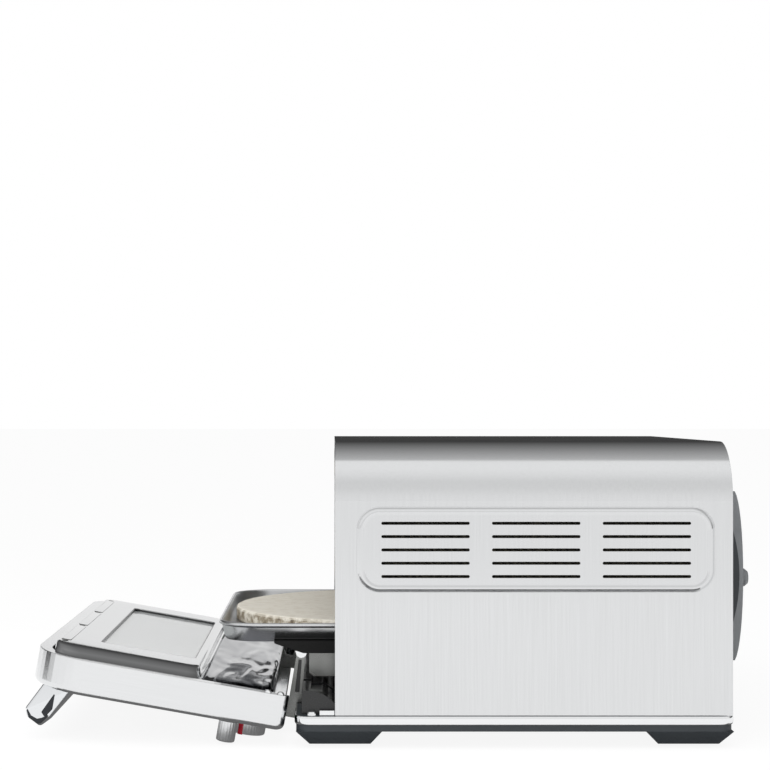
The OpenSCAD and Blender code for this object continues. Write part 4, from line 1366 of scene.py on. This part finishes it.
@dataclass
class Underframe:
    """The black frame under the deck, with raked noses on its webs.

    Attributes:
        web: The thickness of its sheet.
        flange_from: Where its flanges start, from the middle.
        bars: Each cross bar's start behind the frame's nose, or before its tail where negative.
        bar: A cross bar's length along the deck and its height.
        nose: How far the raked nose reaches back, and the depth that it starts with.
        web_rounds: The radii of a web's corners.
        flat_round: The radius of a flat part's corners.
        shy: How far the webs end under the frame's top; flanges lie twice as far under it, and bars thrice.
        softening: The inset and height of a flat part's softened lower edges.
    """

    web: float = 1.5
    flange_from: float = 138.0
    bars: Pair = (20.0, -60.0)
    bar: Pair = (24.0, 5.0)
    nose: Pair = (27.0, 4.0)
    web_rounds: tuple[float, ...] = (2.0, 8.0, 1.5, 0.5, 0.5)
    flat_round: float = 0.4
    shy: float = 0.02
    softening: float = 0.3

    def build(self, finishes: Finishes) -> None:
        """Make the frame.

        Args:
            finishes: The oven's materials.
        """
        low, high = box_mm("deck_underframe")
        skin = Skin("underframe_channel")
        reach, depth = self.nose
        web = rounded([(low.y, high.z - depth), (low.y + reach, low.z), (high.y, low.z),
                       (high.y, high.z - self.shy), (low.y, high.z - self.shy)], list(self.web_rounds))
        for outer in (-high.x, high.x - self.web):
            skin.loft([upright(web, x) for x in (outer, outer + self.web)])
        for left, right in ((-high.x, -self.flange_from), (self.flange_from, high.x)):
            self.slab(skin, rectangle(left, right, low.y, high.y), high.z - self.web, high.z - 2 * self.shy)
        length, height = self.bar
        for start in self.bars:
            near = start + (low.y if start > 0 else high.y)
            self.slab(skin, rectangle(-self.flange_from, self.flange_from, near, near + length),
                      high.z - height, high.z - 3 * self.shy)
        skin.piece("deck", "black_enamel", [finishes.soot], ("deck_underframe",))

    def slab(self, skin: Skin, corners: list[Pair], foot: float, top: float) -> None:
        """Add a flat part with softened lower edges.

        Args:
            skin: The frame's skin.
            corners: The corners of its plan, in millimetres.
            foot: The height of its underside.
            top: The height of its upper side.
        """
        plan = rounded(corners, [self.flat_round] * 4)
        steps = ((foot, self.softening), (foot + self.softening, 0.0), (top, 0.0))
        skin.loft([lying(taken_in(plan, inset), height) for height, inset in steps])


@dataclass
class VentBead:
    """The pressed bead round the louvres on each side.

    Attributes:
        front: Where the field starts, behind the wrapper's front edge.
        back: Where it ends, before the wrapper's rear edge.
        foot: Its lower edge over the floor.
        height: Its height.
        corner: The radius of its corners.
        corner_steps: Segments in each corner.
        sheet: The side sheet's distance from the middle.
        section: How far inside the field's edge and how far out of the sheet each point of the bead lies.
    """

    front: float = 19.6
    back: float = 16.4
    foot: float = 139.0
    height: float = 75.0
    corner: float = 20.0
    corner_steps: int = 12
    sheet: float = 231.0
    section: tuple[Pair, ...] = (
        (-0.6, -0.4), (-0.6, 0.02), (-0.1, 0.25), (0.4, 0.75), (2.9, 3.45), (3.5, 3.85), (4.2, 3.93),
        (5.2, 3.75), (6.4, 3.2), (7.2, 2.7), (7.2, 2.2))

    def build(self, finishes: Finishes) -> None:
        """Make both beads.

        Args:
            finishes: The oven's materials.
        """
        low, high = box_mm("outer_wrapper")
        corners = rectangle(low.y + self.front, high.y - self.back, self.foot, self.foot + self.height)
        plan = rounded(corners, [self.corner] * 4, self.corner_steps)
        skin = Skin("vent_beads")
        for side in (-1, 1):
            skin.loft([upright(taken_in(plan, inset), side * (self.sheet + out))
                       for inset, out in self.section], frame_like=True)
        skin.piece("housing", "brushed_steel", [finishes.wrapper], crease=50.0)


@dataclass
class CoverCheeks:
    """The moulded cheeks that close the ends of the rear cover.

    Attributes:
        margin: How far a cheek stays inside the cover's height at the top and at the foot.
        sunk: How far it reaches into the rear panel.
        bulge: How far out it reaches at its ends and in its middle.
        turns: The first, the last and the step of the angles along its curve, in degrees.
        steps: How far inside the cover's end each ring lies, and its inset.
    """

    margin: float = 2.0
    sunk: float = 0.2
    bulge: Pair = (17.0, 26.5)
    turns: tuple[int, int, int] = (-80, 80, 10)
    steps: tuple[Pair, ...] = ((8.0, 0.0), (4.2, 0.0), (3.3, 0.3), (3.0, 1.2))

    def build(self, finishes: Finishes) -> None:
        """Make both cheeks.

        Args:
            finishes: The oven's materials.
        """
        low, high = box_mm("rear_cover")
        middle, half = (low.z + high.z) / 2, (high.z - low.z) / 2 - self.margin
        ends, centre = self.bulge
        first, last, step = self.turns
        arc = []
        for turn in range(first, last + 1, step):
            way = Vector((math.cos(math.radians(turn)), math.sin(math.radians(turn))))
            tall = half / math.sin(math.radians(last))
            arc.append(Vector((low.y + ends + (centre - ends) * way.x, middle + tall * way.y)))
        root = low.y - self.sunk
        plan = [Vector((root, middle - half))] + arc + [Vector((root, middle + half))]
        skin = Skin("cover_cheeks")
        for end in (low.x, high.x):
            side = math.copysign(1.0, end)
            skin.loft([upright(taken_in(plan, inset), end - side * shy) for shy, inset in self.steps])
        skin.piece("housing", "slate_plastic", [finishes.polyamide])


# ---------------------------------------------------------------- studio and camera


@dataclass(frozen=True)
class Softbox:
    """A square lamp that metal doesn't mirror.

    Attributes:
        name: The lamp's name.
        place: Where it stands.
        aim: The point that it faces.
        size: Its side.
        watts: Its power.
    """

    name: str
    place: Place
    aim: Place
    size: float
    watts: float

    def build(self) -> None:
        """Hang the lamp."""
        data = bpy.data.lights.new(self.name, "AREA")
        data.size, data.energy = self.size, self.watts
        lamp = bpy.data.objects.new(self.name, data)
        lamp.location = self.place
        lamp.rotation_mode = "QUATERNION"
        lamp.rotation_quaternion = (Vector(self.aim) - Vector(self.place)).to_track_quat("-Z", "Y")
        lamp.visible_glossy = False
        bpy.context.collection.objects.link(lamp)


@dataclass
class Studio:
    """A white room that darkens over the oven and beyond it, with a mat and a card that only metal shows.

    Attributes:
        stripes: The room's brightness by angle, from the near horizon over the top to the far one.
        lamps: The lamps.
        floor_size: The width of the floor.
        paper_tone: The paper's own white.
        paper_roughness: Its roughness.
        paper_glow: The brightness that rays see in it.
        paper_share: The share of that glow; the rest keeps the oven's shadow.
        mat_margin: How far the grey mat reaches past the oven.
        mat_height: How far it lies over the floor.
        mat_tone: The mat's grey.
        card: The lowest and highest corner of the white card beyond the door, lower than the oven's top.
        card_tone: The card's brightness.
    """

    stripes: tuple[Pair, ...] = (
        (0, 0.98), (22, 0.84), (36, 0.82), (50, 0.93), (64, 1.0), (83, 1.0), (86, 0.58), (104, 0.42),
        (122, 0.27), (140, 0.16), (155, 0.09), (165, 0.055), (180, 0.045))
    lamps: tuple[Softbox, ...] = (
        Softbox("near_softbox", (1.5, -0.3, 1.3), (0.0, -0.1, 0.1), 1.2, 14.0),
        Softbox("front_softbox", (0.3, -1.8, 1.2), (0.0, -0.1, 0.1), 1.0, 8.0))
    floor_size: float = 60.0
    paper_tone: float = 0.86
    paper_roughness: float = 0.9
    paper_glow: float = 1.05
    paper_share: float = 0.86
    mat_margin: float = 0.015
    mat_height: float = 0.0004
    mat_tone: float = 0.16
    card: tuple[Place, Place] = ((-0.62, -1.1, 0.0), (-0.62, 0.35, 0.262))
    card_tone: float = 0.88

    def build(self) -> None:
        """Make the room, its lamps, the floor, the mat and the card."""
        self.room()
        for lamp in self.lamps:
            lamp.build()
        self.floor()
        self.mat()
        self.bounce_card()
        bpy.context.scene.view_settings.view_transform = "Standard"

    def room(self) -> None:
        """Make the world: white to the camera and through glass, striped to everything that it lights."""
        world = bpy.data.worlds.new("studio_room")
        bpy.context.scene.world = world
        world.use_nodes = True
        tree = world.node_tree
        tree.nodes.clear()
        way = add(tree, "ShaderNodeTexCoord").outputs["Generated"]
        parts = add(tree, "ShaderNodeSeparateXYZ", {"Vector": way})
        angle = add(tree, "ShaderNodeMath", {0: parts.outputs["Z"], 1: parts.outputs["X"]},
                    operation="ARCTAN2")
        share = add(tree, "ShaderNodeMath", {0: angle.outputs[0], 1: math.pi}, operation="DIVIDE")
        stripes = add(tree, "ShaderNodeValToRGB", {"Fac": share.outputs[0]},
                      [(turn / 180, grey(tone)) for turn, tone in self.stripes])
        lit = add(tree, "ShaderNodeBackground", {"Color": stripes.outputs[0], "Strength": 1.0})
        white = add(tree, "ShaderNodeBackground", {"Color": grey(1.0), "Strength": 1.0})
        seen = rays_of(tree, "Is Camera Ray", "Is Transmission Ray")
        both = add(tree, "ShaderNodeMixShader", {0: seen, 1: lit.outputs[0], 2: white.outputs[0]})
        add(tree, "ShaderNodeOutputWorld", {"Surface": both.outputs[0]})

    def sheet(self, name: str, corners: list[Place]) -> bpy.types.Object:
        """Make a flat sheet that isn't part of the oven.

        Args:
            name: The sheet's name.
            corners: Its four corners.

        Returns:
            The sheet.
        """
        mesh = bpy.data.meshes.new(name)
        mesh.from_pydata(corners, [], [(0, 1, 2, 3)])
        sheet = bpy.data.objects.new(name, mesh)
        bpy.context.collection.objects.link(sheet)
        return sheet

    def floor(self) -> None:
        """Lay the floor: white paper that keeps a faint shadow."""
        half = self.floor_size / 2
        paper = self.sheet("paper_floor", [(x, y, 0.0) for x, y in rectangle(-half, half, -half, half)])
        material, tree, shader = fresh("paper_white")
        shader.inputs["Base Color"].default_value = grey(self.paper_tone)
        shader.inputs["Roughness"].default_value = self.paper_roughness
        seen = rays_of(tree, "Is Camera Ray", "Is Transmission Ray", "Is Glossy Ray")
        share = add(tree, "ShaderNodeMath", {0: seen, 1: self.paper_share}, operation="MULTIPLY")
        glow = add(tree, "ShaderNodeEmission", {"Color": grey(1.0), "Strength": self.paper_glow})
        both = add(tree, "ShaderNodeMixShader", {0: share.outputs[0], 1: shader.outputs[0],
                   2: glow.outputs[0]})
        join(tree, tree.nodes["Material Output"], {"Surface": both.outputs[0]})
        paper.data.materials.append(material)

    def mat(self) -> None:
        """Lay the grey mat, which gives the metal's lower edges their dark lines."""
        (left, near, _), (right, far, _) = CAD_BOX
        margin = self.mat_margin
        plan = rectangle(left - margin, right + margin, near - margin, far + margin)
        mat = self.sheet("grey_mat", [(x, y, self.mat_height) for x, y in plan])
        self.mirrored_only(mat, "card_grey", self.mat_tone)

    def bounce_card(self) -> None:
        """Stand the white card that the door's inside mirrors."""
        (x, near, low), (_, far, high) = self.card
        card = self.sheet("bounce_card", [(x, y, z) for y, z in rectangle(near, far, low, high)])
        self.mirrored_only(card, "card_white", self.card_tone)

    def mirrored_only(self, sheet: bpy.types.Object, name: str, tone: float) -> None:
        """Make a sheet glow evenly, and show it in reflections alone.

        Args:
            sheet: The sheet.
            name: Its material's name.
            tone: Its brightness.
        """
        for kind in ("camera", "diffuse", "transmission", "shadow"):
            setattr(sheet, f"visible_{kind}", False)
        material, tree, _ = fresh(name)
        glow = add(tree, "ShaderNodeEmission", {"Color": grey(tone), "Strength": 1.0})
        join(tree, tree.nodes["Material Output"], {"Surface": glow.outputs[0]})
        sheet.data.materials.append(material)


@dataclass
class Viewpoint:
    """The photograph's camera: level, square on to the oven's side.

    Attributes:
        vanishing_px: The picture's vanishing point.
        distance: How far the camera stands from the near side.
        scale_px: Pixels a millimetre on the near side.
        front_px: The picture column of the wrapper's front edge.
        ground_px: The picture row of the floor under the near side.
        sensor_mm: The width of the camera's sensor.
        far_end: The farthest that the camera sees.
    """

    vanishing_px: Pair = (332.0, 412.0)
    distance: float = 1.590
    scale_px: float = 1.13
    front_px: float = 335.0
    ground_px: float = 749.0
    sensor_mm: float = 36.0
    far_end: float = 100.0

    def build(self) -> None:
        """Make the camera and hand it to the scene."""
        column, row = self.vanishing_px
        data = bpy.data.cameras.new("side_view")
        data.sensor_width = self.sensor_mm
        data.lens = self.scale_px / MM * self.distance / IMAGE_PX * self.sensor_mm
        data.shift_x = 0.5 - column / IMAGE_PX
        data.shift_y = row / IMAGE_PX - 0.5
        data.clip_end = self.far_end
        camera = bpy.data.objects.new("side_view", data)
        _, face_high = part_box("face_plate")
        wrapper_low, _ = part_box("outer_wrapper")
        camera.location = (face_high.x + self.distance,
                           wrapper_low.y + (column - self.front_px) / self.scale_px * MM,
                           (self.ground_px - row) / self.scale_px * MM)
        camera.rotation_euler = (math.pi / 2, 0, math.pi / 2)
        bpy.context.collection.objects.link(camera)
        bpy.context.scene.camera = camera


def main() -> None:
    """Build the studio, the camera and the oven's looks, in order."""
    logging.basicConfig(level=logging.INFO, format="%(name)s: %(message)s")
    Viewpoint().build()
    Studio().build()
    finishes = Finishes()
    CarriedParts(finishes).dress()
    door = OpenDoor()
    CastHandle(door).build(finishes)
    Controls(door).build(finishes)
    PanelPressing(door).build(finishes)
    FootPressing(door).build(finishes)
    WindowBead(door).build(finishes)
    TrimBand().build(finishes)
    DeckTray().build(finishes)
    Underframe().build(finishes)
    LeverSlotShades(door).build(finishes)
    VentBead().build(finishes)
    CoverCheeks().build(finishes)


if __name__ == "__main__":
    main()
